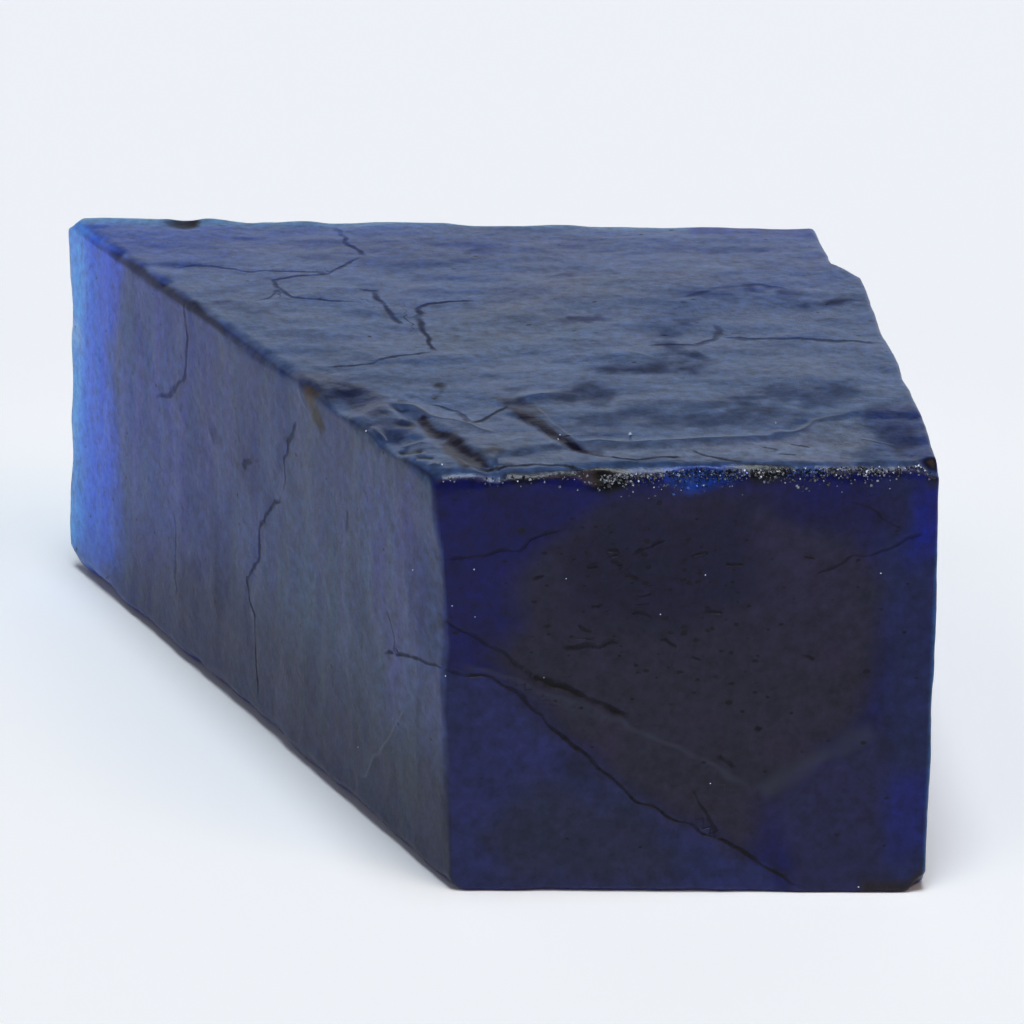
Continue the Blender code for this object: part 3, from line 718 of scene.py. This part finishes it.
# The skin's own fine relief in mm and its unevenness of colour, each layer with its face, amount, size in
# mm (x, y, z) and seed: grain all over, and traces that run across the top and down the left side
skin = {
    "lattice": 64,
    "leftLean": 0.12,
    "relief": [
        ("all", 0.030, (2.1, 2.1, 2.1), 51),
        ("all", 0.020, (0.8, 0.8, 0.8), 52),
        ("all", 0.008, (0.37, 0.37, 0.37), 53),
        ("top", 0.030, (3.4, 1.1, 3.0), 54),
        ("top", 0.010, (1.7, 0.42, 2.0), 55),
        ("left", 0.020, (2.0, 0.75, 5.0), 56),
        ("left", 0.009, (1.0, 0.37, 2.6), 57),
    ],
    "mottle": [
        ("all", 0.10, (2.3, 2.3, 2.3), 61),
        ("all", 0.09, (0.9, 0.9, 0.9), 62),
        ("all", 0.10, (0.4, 0.4, 0.4), 63),
        ("top", 0.10, (3.0, 0.8, 2.0), 64),
        ("left", 0.12, (2.0, 0.8, 4.5), 65),
        ("left", 0.08, (1.0, 0.4, 2.4), 66),
    ],
    # how much red, green and blue stray from each other
    "hue": [
        ("left", (0.24, 0.04, 0.08), (2.2, 0.9, 5.0), 67),
        ("left", (-0.06, 0.16, -0.08), (1.6, 0.6, 4.0), 68),
        ("top", (0.12, 0.0, -0.03), (2.6, 1.2, 2.0), 69),
        ("front", (0.2, 0.05, 0.12), (1.3, 1.3, 1.3), 70),
    ],
    # how much duller the skin is where it is paler
    "mottleDull": 0.3,
    # how many of the pit pattern's cells are pits, and how many more on the front: share, softness, outline
    "pitted": 0.03,
    "pittedFront": [
        (0.4, 1.2, [(2.6, 16.8), (12.6, 16.4), (12.8, 9.0), (7.5, 8.2), (3.0, 10.5)]),
        (0.25, 1.0, [(5.0, 15.4), (11.0, 15.6), (11.6, 11.8), (8.0, 10.6), (4.6, 11.6)]),
        (0.08, 0.8, [(0.5, 17.0), (19.0, 17.0), (19.0, 4.0), (8.0, 6.0), (0.5, 10.6)]),
    ],
}


# A flattened mound over an ellipse: 1 within it, easing to 0 outside it
def spotShare(a, b, centre, radii, turn):
    turn = math.radians(turn)
    along = (a - centre[0]) * math.cos(turn) + (b - centre[1]) * math.sin(turn)
    across = (b - centre[1]) * math.cos(turn) - (a - centre[0]) * math.sin(turn)
    return easeStep(*spots["rim"], np.hypot(along / radii[0], across / radii[1]))


# sRGB hex to linear colour
def linear(text):
    shares = [int(text[at:at + 2], 16) / 255.0 for at in (1, 3, 5)]
    return [c / 12.92 if c <= 0.04045 else ((c + 0.055) / 1.055) ** 2.4 for c in shares] + [1.0]


# Moves the points' colours towards a colour, each by its share
def paint(tint, share, colour):
    return tint + share[:, None] * (np.array(linear(colour)[:3]) - tint)


print("working out the stone's form")
shares, quads, undersideLoop = cubeLattice()
points = ontoStone(shares)
normals = pointNormals(points, quads)
x, y, z = points.T
places = {"top": (x, y), "front": (x, z), "left": (y, z), "right": (y, z), "back": (x, z)}
outwards = {"top": (2, 1), "front": (1, -1), "left": (0, -1), "right": (0, 1), "back": (1, 1)}
tilts = {face: sign * normals[:, axis] for face, (axis, sign) in outwards.items()}
facing = {face: easeStep(*zones["ownTilt"], tilt) for face, tilt in tilts.items()}
reach = {face: easeStep(*zones["reachTilt"], tilt) for face, tilt in tilts.items()}
facing["all"] = np.ones(len(points))
leaned = points + np.outer(z, (0.0, skin["leftLean"], 0.0))

print("adding low relief")
height = np.zeros(len(points))
for face, routes in relief.items():
    for rise, halfWidth, route in routes:
        distance, _, along = routeDistance(*places[face], route)
        fade = endFade(along, lines["reliefEndFade"])
        height += rise * fade * facing[face] * np.exp(-((distance / halfWidth) ** 2))
for face, rise, size, seed in skin["relief"]:
    height += rise * facing[face] * lumps(leaned, size, seed, skin["lattice"])
for face in ("top", "left"):
    for centre, radii, turn, sink, *_ in spots[face]:
        height -= sink * reach[face] * spotShare(*places[face], centre, radii, turn)
points = points + normals * height[:, None]
points[:, 2] = np.maximum(points[:, 2], 0.0)

print("marking cracks, crests and colours")
lines["cracks"]["front"] += [
    (halfWidth, strength, [(x0, z0), (x1, z1)]) for x0, z0, x1, z1, halfWidth, strength in lines["longPits"]
]
fields = {}
for kind in ("cracks", "crests"):
    side = np.full(len(points), lines["reach"])
    show = np.zeros(len(points))
    for face, routes in lines[kind].items():
        itsSide, itsShow = lineField(points, *places[face], routes)
        here = facing[face] > 0.0
        side = np.where(here, np.clip(itsSide, -lines["reach"], lines["reach"]), side)
        show = np.where(here, itsShow * facing[face], show)
    breaks = lumps(points, lines["breakSize"], 33)
    fields[kind + "Side"] = side
    fields[kind + "Show"] = show * np.clip(1.0 + lines["breakDepth"] * breaks, 0.0, 1.0)

# each face's ground colour as it is lit: painted light and shade, paler on the top and dark on the front
tint = np.zeros((len(points), 3))
for face, colour in zones["ground"].items():
    tint += facing[face][:, None] * linear(colour)[:3]
onBevel = np.clip(1.0 - sum(facing[face] for face in zones["ground"]), 0.0, 1.0)
tint += onBevel[:, None] * linear(zones["bevel"])[:3]
wander = [
    zones["edgeWander"] * lumps(points, zones["edgeSize"], seed)
    + zones["fineWander"] * lumps(points, zones["fineSize"], seed + 2)
    for seed in (41, 42)
]
patchy = sum(amount * lumps(points, size, seed) for amount, size, seed in spots["patchy"])
patchy = np.clip(spots["patchyFrom"] + patchy, 0.0, spots["patchyTo"])
dull = np.zeros(len(points))
for face in ("top", "front", "left", "back"):
    a, b = places[face]
    for colour, softness, amount, outline in zones[face]:
        share = insideShare(a + wander[0], b + wander[1], outline, softness)
        tint = paint(tint, amount * reach[face] * share, colour)
    a, b = a + spots["wander"] * wander[0], b + spots["wander"] * wander[1]
    for centre, radii, turn, _, darkness, dullness in spots.get(face, []):
        share = patchy * reach[face] * spotShare(a, b, centre, radii, turn)
        tint = paint(tint, darkness * share, spots["stain"])
        dull = np.maximum(dull, dullness * share)

# painted shade along the rounded edge at the top of the left side: a dark line that swells and thins
edgeGap, _, edgeAlong = routeDistance(x, y, [block["top"]["frontLeft"], block["top"]["backLeft"]])
amount, size, seed = lines["leftEdgeVaries"]
swell = np.interp(edgeAlong, *np.array(lines["leftEdgeWidth"]).T) * (1.0 + amount * lumps(points, size, seed))
edgeShade = easeStep(-lines["leftEdgeSoft"], lines["leftEdgeSoft"], swell - edgeGap)
edgeShade *= easeStep(*lines["leftEdgeHeight"], z) * easeStep(*lines["leftEdgeSlope"], normals[:, 2])
edgeShade *= np.interp(edgeAlong, *np.array(lines["leftEdgeDark"]).T)
tint = paint(tint, edgeShade, lines["leftEdgeShade"])

# painted glow where the front meets the right side, where the stone is thin enough for light to come through
rimGap = sidePlace(0, ("frontRight", "backRight"), y, z) - x
rim = easeStep(*lines["rimFade"], rimGap / lines["rimWidth"]) * reach["front"]
rim *= easeStep(1.0, -1.0, z - lines["rimTop"])
tint = paint(tint, rim, lines["rimGlowColour"])

mottle = np.ones(len(points))
for face, strength, size, seed in skin["mottle"]:
    mottle += strength * facing[face] * lumps(leaned, size, seed, skin["lattice"])
hue = np.ones((len(points), 3))
for face, strengths, size, seed in skin["hue"]:
    hue += np.outer(facing[face] * lumps(leaned, size, seed, skin["lattice"]), strengths)
tint = np.clip(tint * hue * mottle[:, None], 0.0, 1.0)
fields["dull"] = dull + skin["mottleDull"] * (mottle - 1.0)
fields["pitted"] = np.full(len(points), skin["pitted"])
for share, softness, outline in skin["pittedFront"]:
    fields["pitted"] += share * facing["front"] * insideShare(x, z, outline, softness)


# Adds a node with its inputs, each a value or a socket to link, and its settings, and gives one output
def addNode(tree, kind, output, inputs, **settings):
    node = tree.nodes.new("ShaderNode" + kind)
    for name, value in settings.items():
        setattr(node, name, value)
    for name, value in inputs.items():
        if isinstance(value, bpy.types.NodeSocket):
            tree.links.new(value, node.inputs[name])
        else:
            node.inputs[name].default_value = value
    return None if output is None else node.outputs[output]


# Tanzanite, natural and frosted: blue zoisite, whose broken skin scatters what it mirrors and hides a body
# so strongly coloured that only its thin edges glow
tanzanite = {
    "crack": "#0b0b13",
    # the crests' pale colour, a painted highlight along raised lips
    "crestHighlight": "#a9b6d2",
    "transmission": 0.75,
    "ior": 1.5,
    "reflect": 0.35,
    "roughness": 0.34,
    "dullness": 0.3,
    "absorbColour": "#50a6f1",
    "absorbDensity": 520.0,
    # the frosted grain is under 0.05 mm: it is drawn at this size in mm, with finer octaves, so that it shows
    "fineGrain": 0.45,
    "fineDetail": 4.0,
    "fineRoughness": 0.62,
    "fineShade": 0.95,
    # from and to how many half widths a line darkens, and how much the grain frays its edges
    "lineEdges": {"cracks": (1.5, 0.3), "crests": (1.8, 0.0)},
    "lineFray": 1.4,
    "crackRoughness": 0.3,
    # pits: mm between cells, how flat they lie, their rim in cells, how it frays, how sizes vary, how dark
    "pitSpacing": 0.3,
    "pitStretch": (0.6, 0.8, 0.85),
    "pitRim": (0.4, 0.2),
    "pitFray": 0.5,
    "pitVaries": 0.25,
    "pitDark": 0.85,
    # the bump's height in mm, and the shares of it that the grain and the crests stand up; cracks sink by all
    "bumpHeight": 0.07,
    "bumpGrain": 0.5,
    "bumpCrest": 0.4,
}

# Tanzanite crushed to grains along the chipped edge: so many small faces that it looks white; in two
# stretches, where the chips are thin, the grains are painted pale blue, a painted glow
crushed = {
    "white": "#dfe6f6",
    "blue": "#3f7fe8",
    "roughness": 0.3,
    "ior": 1.69,
    # how thickly the front edge is strewn, by x in mm, and how many grains a mm that is at 1
    "strewn": [
        (-0.5, 0.1), (5.8, 0.1), (6.4, 1.0), (9.5, 1.0), (11.4, 0.7), (12.0, 0.3), (13.6, 0.6), (14.0, 0.9),
        (17.0, 0.8), (17.5, 0.3), (19.3, 0.3),
    ],
    "grainsPerMm": 130,
    # how far down the front they reach, and where the edge that they follow lies, in and up
    "spread": 0.42,
    "inset": 0.2,
    "lift": 0.1,
    # a grain's size in mm, what that is multiplied by, how far it stands out and how its six corners vary
    "grainSize": (0.035, 0.1),
    "sizeVaries": (0.5, 1.0),
    "standsOut": (0.0, 0.6),
    "cornerVaries": (0.55, 1.2),
    # how many are white, painted glints, and how bright the others are: the least, and how much more
    "whiteShare": 0.035,
    "shade": (0.05, 0.5),
    "seed": 71,
    # stretches of the edge whose grains are mostly blue, a painted glow: middle (x, z) and reach in mm,
    # frayed by chance
    "glowBlueAt": [(9.9, 18.1, 1.7, 0.8), (14.3, 18.3, 0.8, 0.4)],
    "blueFray": (-0.3, 0.6),
    "blueAmount": 0.9,
    # single glints by face, painted as pure white grains: place in mm and size
    "glints": {
        "top": [
            (7.35, -13.85, 0.1), (13.29, -12.4, 0.06), (-0.15, -17.0, 0.06), (4.45, -14.21, 0.05),
            (4.53, -13.73, 0.05),
        ],
        "left": [(-12.42, 18.3, 0.07), (-17.94, 9.72, 0.04), (-10.55, 3.22, 0.04), (-15.95, 13.58, 0.04)],
        "front": [
            (8.51, 12.33, 0.05), (16.85, 0.26, 0.05), (4.74, 13.93, 0.04), (10.28, 13.95, 0.04),
            (17.29, 13.86, 0.05), (1.1, 14.41, 0.04), (1.13, 12.33, 0.04), (3.88, 9.64, 0.04),
            (10.66, 4.89, 0.05), (0.22, 12.83, 0.04),
        ],
    },
}


# How many waves of a noise fit in a metre when they are this many mm apart
def perMetre(spacing):
    return 1000.0 / spacing


def frostedTanzanite():
    material = bpy.data.materials.new("frostedTanzanite")
    material.use_nodes = True
    tree = material.node_tree
    tree.nodes.clear()
    look = tanzanite
    coords = addNode(tree, "TexCoord", "Object", {})
    stored = {name: addNode(tree, "Attribute", "Fac", {}, attribute_name=name) for name in fields}
    tint = addNode(tree, "Attribute", "Color", {}, attribute_name="tint")
    fine = addNode(tree, "TexNoise", "Fac", {
        "Vector": coords, "Scale": perMetre(look["fineGrain"]),
        "Detail": look["fineDetail"], "Roughness": look["fineRoughness"],
    })

    # lines, sharpened from their distance fields, with edges that the grain frays
    line = {}
    for kind, (wide, thin) in look["lineEdges"].items():
        away = addNode(tree, "Math", 0, {0: stored[kind + "Side"]}, operation="ABSOLUTE")
        away = addNode(tree, "Math", 0, {0: away, 1: look["lineFray"] / 2.0}, operation="SUBTRACT")
        away = addNode(tree, "Math", 0, {0: fine, 1: look["lineFray"], 2: away}, operation="MULTIPLY_ADD")
        ramp = {"Value": away, "From Min": wide, "From Max": thin}
        near = addNode(tree, "MapRange", 0, ramp, interpolation_type="SMOOTHSTEP")
        line[kind] = addNode(tree, "Math", 0, {0: near, 1: stored[kind + "Show"]}, operation="MULTIPLY")

    # pits: some of the cells of a cell pattern, each a small hollow that lies flat
    flat = addNode(tree, "Mapping", 0, {"Vector": coords, "Scale": look["pitStretch"]})
    cell = addNode(tree, "TexVoronoi", "Distance", {"Vector": flat, "Scale": perMetre(look["pitSpacing"])})
    chance = addNode(tree, "SeparateColor", 0, {"Color": cell.node.outputs["Color"]})
    chosen = addNode(tree, "Math", 0, {0: chance, 1: stored["pitted"]}, operation="LESS_THAN")
    away = addNode(tree, "Math", 0, {0: cell, 1: look["pitFray"] / 2.0}, operation="SUBTRACT")
    away = addNode(tree, "Math", 0, {0: fine, 1: look["pitFray"], 2: away}, operation="MULTIPLY_ADD")
    chance = chance.node.outputs[1]
    away = addNode(tree, "Math", 0, {0: chance, 1: look["pitVaries"], 2: away}, operation="MULTIPLY_ADD")
    ramp = {"Value": away, "From Min": look["pitRim"][0], "From Max": look["pitRim"][1]}
    pit = addNode(tree, "MapRange", 0, ramp, interpolation_type="SMOOTHSTEP")
    pit = addNode(tree, "Math", 0, {0: pit, 1: chosen}, operation="MULTIPLY")

    # the grain shades the body's colour, under the crests' painted highlight, the cracks and the pits
    steps = {0: fine, 1: look["fineShade"] * 2.0, 2: 1.0 - look["fineShade"]}
    shade = addNode(tree, "Math", 0, steps, operation="MULTIPLY_ADD")
    colour = addNode(tree, "HueSaturation", 0, {"Color": tint, "Value": shade})
    layers = {"Factor": line["crests"], 6: colour, 7: linear(look["crestHighlight"])}
    colour = addNode(tree, "Mix", 2, layers, data_type="RGBA")
    dark = addNode(tree, "Math", 0, {0: pit, 1: look["pitDark"]}, operation="MULTIPLY")
    dark = addNode(tree, "Math", 0, {0: dark, 1: line["cracks"]}, operation="MAXIMUM")
    layers = {"Factor": dark, 6: colour, 7: linear(look["crack"])}
    colour = addNode(tree, "Mix", 2, layers, data_type="RGBA")

    steps = {0: stored["dull"], 1: look["dullness"], 2: look["roughness"]}
    roughness = addNode(tree, "Math", 0, steps, operation="MULTIPLY_ADD")
    steps = {0: line["cracks"], 1: look["crackRoughness"], 2: roughness}
    roughness = addNode(tree, "Math", 0, steps, operation="MULTIPLY_ADD")

    rise = addNode(tree, "Math", 0, {0: line["crests"], 1: look["bumpCrest"]}, operation="MULTIPLY")
    rise = addNode(tree, "Math", 0, {0: fine, 1: look["bumpGrain"], 2: rise}, operation="MULTIPLY_ADD")
    rise = addNode(tree, "Math", 0, {0: rise, 1: line["cracks"]}, operation="SUBTRACT")
    bump = addNode(tree, "Bump", 0, {
        "Height": rise, "Strength": 1.0, "Distance": look["bumpHeight"] / 1000.0,
    })
    surface = addNode(tree, "BsdfPrincipled", 0, {
        "Base Color": colour,
        "Roughness": roughness,
        "IOR": look["ior"],
        "Transmission Weight": look["transmission"],
        "Specular IOR Level": look["reflect"],
        "Normal": bump,
    })
    inside = addNode(tree, "VolumeAbsorption", 0, {
        "Color": linear(look["absorbColour"]), "Density": look["absorbDensity"],
    })
    addNode(tree, "OutputMaterial", None, {"Surface": surface, "Volume": inside})
    return material


def crushedTanzanite():
    material = bpy.data.materials.new("crushedTanzanite")
    material.use_nodes = True
    tree = material.node_tree
    grains = tree.nodes["Principled BSDF"]
    tint = addNode(tree, "Attribute", "Color", {}, attribute_name="tint")
    tree.links.new(tint, grains.inputs["Base Color"])
    grains.inputs["Roughness"].default_value = crushed["roughness"]
    grains.inputs["IOR"].default_value = crushed["ior"]
    return material


# Carries points onto the stone along the slope of its distance: each step goes the distance that is left
def ontoSkin(places, steps=4, probe=0.01):
    for _ in range(steps):
        gap = stoneDistance(places)
        slope = np.column_stack([stoneDistance(places + probe * axis) - gap for axis in np.eye(3)]) / probe
        slope /= np.maximum(np.linalg.norm(slope, axis=1), 1e-6)[:, None]
        places = places - gap[:, None] * slope
    return places, slope


# Grains: an octahedron of six random reaches on each place, half sunk into the stone
def strewGrains():
    chance = np.random.default_rng(crushed["seed"])
    start, end = crushed["strewn"][0][0], crushed["strewn"][-1][0]
    tries = int((end - start) * crushed["grainsPerMm"])
    across = chance.uniform(start, end, tries)
    thickness = np.interp(across, *np.array(crushed["strewn"]).T)
    across = across[chance.uniform(0.0, 1.0, tries) < thickness]
    down = np.abs(chance.normal(0.0, crushed["spread"], len(across)))
    frontEdge = np.array([block["top"][name] for name in corners[:2]])
    edgeY = np.interp(across, *frontEdge.T) - crushed["inset"]
    onEdge = np.column_stack([across, edgeY, block["height"] + crushed["lift"] - down])
    sizes = chance.uniform(*crushed["grainSize"], len(across))
    sizes = sizes * chance.uniform(*crushed["sizeVaries"], len(across))
    # grains near the listed stretches are painted pale blue, a painted glow of light through the thin chips
    blue = np.zeros(len(across))
    for middleX, middleZ, reachX, reachZ in crushed["glowBlueAt"]:
        near = np.hypot((across - middleX) / reachX, (onEdge[:, 2] - middleZ) / reachZ)
        isNear = near + chance.uniform(*crushed["blueFray"], len(across)) < 1.0
        blue = np.maximum(blue, isNear * crushed["blueAmount"])
    found = [onEdge]
    for face, glints in crushed["glints"].items():
        a, b, size = np.array(glints).T
        at = {
            "top": (a, b, np.full(len(a), block["height"])),
            "front": (a, sidePlace(1, ("frontLeft", "frontRight"), a, b), b),
            "left": (sidePlace(0, ("frontLeft", "backLeft"), a, b), a, b),
        }
        found.append(np.column_stack(at[face]))
        sizes = np.concatenate([sizes, size])
        blue = np.concatenate([blue, np.zeros(len(a))])
    count = len(sizes)
    middles, outwards = ontoSkin(np.concatenate(found))
    middles = middles + outwards * (sizes * chance.uniform(*crushed["standsOut"], count))[:, None]
    reaches = sizes[:, None] * chance.uniform(*crushed["cornerVaries"], (count, 6))
    spokes = np.concatenate([np.eye(3), -np.eye(3)])
    turn = np.linalg.qr(chance.normal(0.0, 1.0, (count, 3, 3)))[0]
    turn[:, 0] *= np.sign(np.linalg.det(turn))[:, None]
    tips = middles[:, None, :] + np.einsum("gs,sa,gab->gsb", reaches, spokes, turn)
    sides = np.array([(0, 1, 2), (1, 3, 2), (3, 4, 2), (4, 0, 2), (1, 0, 5), (3, 1, 5), (4, 3, 5), (0, 4, 5)])
    white, pale = np.array(linear(crushed["white"])[:3]), np.array(linear(crushed["blue"])[:3])
    least, more = crushed["shade"]
    shade = least + more * chance.uniform(0.0, 1.0, (count, 1)) ** 2
    # the white grains and the single glints are painted glints, full white; the rest are darker at random
    isWhite = chance.uniform(0.0, 1.0, (count, 1)) < crushed["whiteShare"]
    isGlint = np.arange(count)[:, None] >= len(onEdge)
    colours = (white + blue[:, None] * (pale - white)) * np.where(isWhite | isGlint, 1.0, shade)
    faces = (np.arange(count)[:, None, None] * 6 + sides).reshape(-1, 3)
    return tips.reshape(-1, 3), faces, np.repeat(colours, 6, axis=0)


# Puts the skin and the grains into one mesh, with the skin's numbers for each point
def makeStone():
    used = np.zeros(len(points), bool)
    used[quads.ravel()] = True
    used[undersideLoop] = True
    renumber = np.cumsum(used) - 1
    grainPoints, grainFaces, grainTint = strewGrains()
    skinFaces = renumber[quads].tolist() + [renumber[undersideLoop].tolist()]
    faces = skinFaces + (grainFaces + used.sum()).tolist()
    mesh = bpy.data.meshes.new("tanzaniteBlock")
    allPoints = np.concatenate([points[used], grainPoints]) - [*block["boxCentre"], 0.0]
    mesh.from_pydata(allPoints * mm, [], faces)
    for name, values in fields.items():
        layer = mesh.attributes.new(name, "FLOAT", "POINT")
        values = np.concatenate([values[used], np.zeros(len(grainPoints))])
        layer.data.foreach_set("value", values.astype(np.float32))
    layer = mesh.attributes.new("tint", "FLOAT_COLOR", "POINT")
    colours = np.concatenate([tint[used], grainTint])
    colours = np.column_stack([colours, np.ones(len(colours))])
    layer.data.foreach_set("color", colours.astype(np.float32).ravel())
    isSkin = np.arange(len(faces)) < len(skinFaces)
    mesh.polygons.foreach_set("use_smooth", isSkin)
    mesh.polygons.foreach_set("material_index", (~isSkin).astype(np.int32))
    mesh.materials.append(frostedTanzanite())
    mesh.materials.append(crushedTanzanite())
    stone = bpy.data.objects.new("tanzaniteBlock", mesh)
    bpy.context.scene.collection.objects.link(stone)
    return stone


print("building the stone", len(quads), "quads")
stone = makeStone()
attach(stone, "root")
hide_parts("stone")

# The studio: a pale floor that runs out of view, painted paler round the stone as a pool of light, a soft
# lamp overhead and two in front, at the sides, and a sky that is brightest low behind the stone, where its
# top mirrors it
studio = {
    "floorColour": "#f6f7f9",
    "floorLightPool": "#fbfcfd",
    "floorRoughness": 0.9,
    "floorSide": 4.0,
    "floorDrop": 0.00002,
    # from and to how far from the stone's middle, in m, the floor turns from its paler centre, a painted pool
    # of light, to its own colour
    "floorTurn": (0.03, 0.065),
    # each lamp's elevation, azimuth (0 in front, 90 on the right), how wide it looks, strength and colour
    "lamps": {
        "overhead": (82.0, 0.0, 24.0, 2.18, "#f0f8ff"),
        "frontRight": (46.0, 48.0, 34.0, 0.7, "#ffe0bc"),
        "frontLeft": (46.0, -52.0, 34.0, 0.3, "#fff0e0"),
    },
    "skyBehind": "#eef5ff",
    "skyInFront": "#92a1b3",
    "skyAbove": "#2c333e",
    "skyStrength": 1.08,
    # from and to what share upwards, and backwards, the sky turns to the colour above, and behind
    "skyTop": (0.36, 0.56),
    "skyTurn": (0.2, 0.9),
    "contrast": 0.8,
    "lens": 116.02,
    "sensor": 36.0,
    "eye": (2.6, -138.9, 63.27),
    "tilt": 21.0,
    "clipStart": 0.01,
}


def makeFloor():
    half = studio["floorSide"] / 2.0
    mesh = bpy.data.meshes.new("floor")
    rim = [(-half, -half, 0), (half, -half, 0), (half, half, 0), (-half, half, 0)]
    mesh.from_pydata(rim, [], [(0, 1, 2, 3)])
    material = bpy.data.materials.new("matteBoard")
    material.use_nodes = True
    tree = material.node_tree
    board = tree.nodes["Principled BSDF"]
    # the board is painted paler near the stone, a painted pool of light
    coords = addNode(tree, "TexCoord", "Object", {})
    away = addNode(tree, "VectorMath", "Value", {0: coords}, operation="LENGTH")
    start, end = studio["floorTurn"]
    ramp = {"Value": away, "From Min": start, "From Max": end}
    share = addNode(tree, "MapRange", 0, ramp, interpolation_type="SMOOTHSTEP")
    layers = {"Factor": share, 6: linear(studio["floorLightPool"]), 7: linear(studio["floorColour"])}
    tree.links.new(addNode(tree, "Mix", 2, layers, data_type="RGBA"), board.inputs["Base Color"])
    board.inputs["Roughness"].default_value = studio["floorRoughness"]
    board.inputs["Specular IOR Level"].default_value = 0.0
    mesh.materials.append(material)
    floor = bpy.data.objects.new("floor", mesh)
    floor.location.z = stoneLow.z - studio["floorDrop"]
    bpy.context.scene.collection.objects.link(floor)


def makeSky():
    world = bpy.data.worlds.new("studioSky")
    world.use_nodes = True
    tree = world.node_tree
    sky = tree.nodes["Background"]
    direction = addNode(tree, "TexCoord", "Generated", {})
    across = addNode(tree, "SeparateXYZ", "X", {"Vector": direction})
    colour = linear(studio["skyInFront"])
    for axis, turn, further in (("Y", "skyTurn", "skyBehind"), ("Z", "skyTop", "skyAbove")):
        low, high = studio[turn]
        ramp = {"Value": across.node.outputs[axis], "From Min": low, "From Max": high}
        share = addNode(tree, "MapRange", 0, ramp, interpolation_type="SMOOTHSTEP")
        layers = {"Factor": share, 6: colour, 7: linear(studio[further])}
        colour = addNode(tree, "Mix", 2, layers, data_type="RGBA")
    tree.links.new(colour, sky.inputs["Color"])
    sky.inputs["Strength"].default_value = studio["skyStrength"]
    bpy.context.scene.world = world


def makeLamps():
    for name, (elevation, azimuth, width, strength, colour) in studio["lamps"].items():
        lamp = bpy.data.lights.new(name, "SUN")
        lamp.energy = strength
        lamp.angle = math.radians(width)
        lamp.color = linear(colour)[:3]
        holder = bpy.data.objects.new(name, lamp)
        holder.rotation_euler = (math.radians(90.0 - elevation), 0.0, math.radians(azimuth))
        bpy.context.scene.collection.objects.link(holder)


def makeCamera():
    camera = bpy.data.objects.new("camera", bpy.data.cameras.new("camera"))
    camera.data.lens = studio["lens"]
    camera.data.sensor_width = studio["sensor"]
    camera.data.clip_start = studio["clipStart"]
    camera.location = [side * mm for side in np.subtract(studio["eye"], [*block["boxCentre"], 0.0])]
    camera.rotation_euler = (math.radians(90.0 - studio["tilt"]), 0.0, 0.0)
    bpy.context.scene.collection.objects.link(camera)
    bpy.context.scene.camera = camera


print("setting up the studio")
makeFloor()
makeSky()
makeLamps()
makeCamera()
view = bpy.context.scene.view_settings
view.view_transform = "Standard"
view.gamma = studio["contrast"]
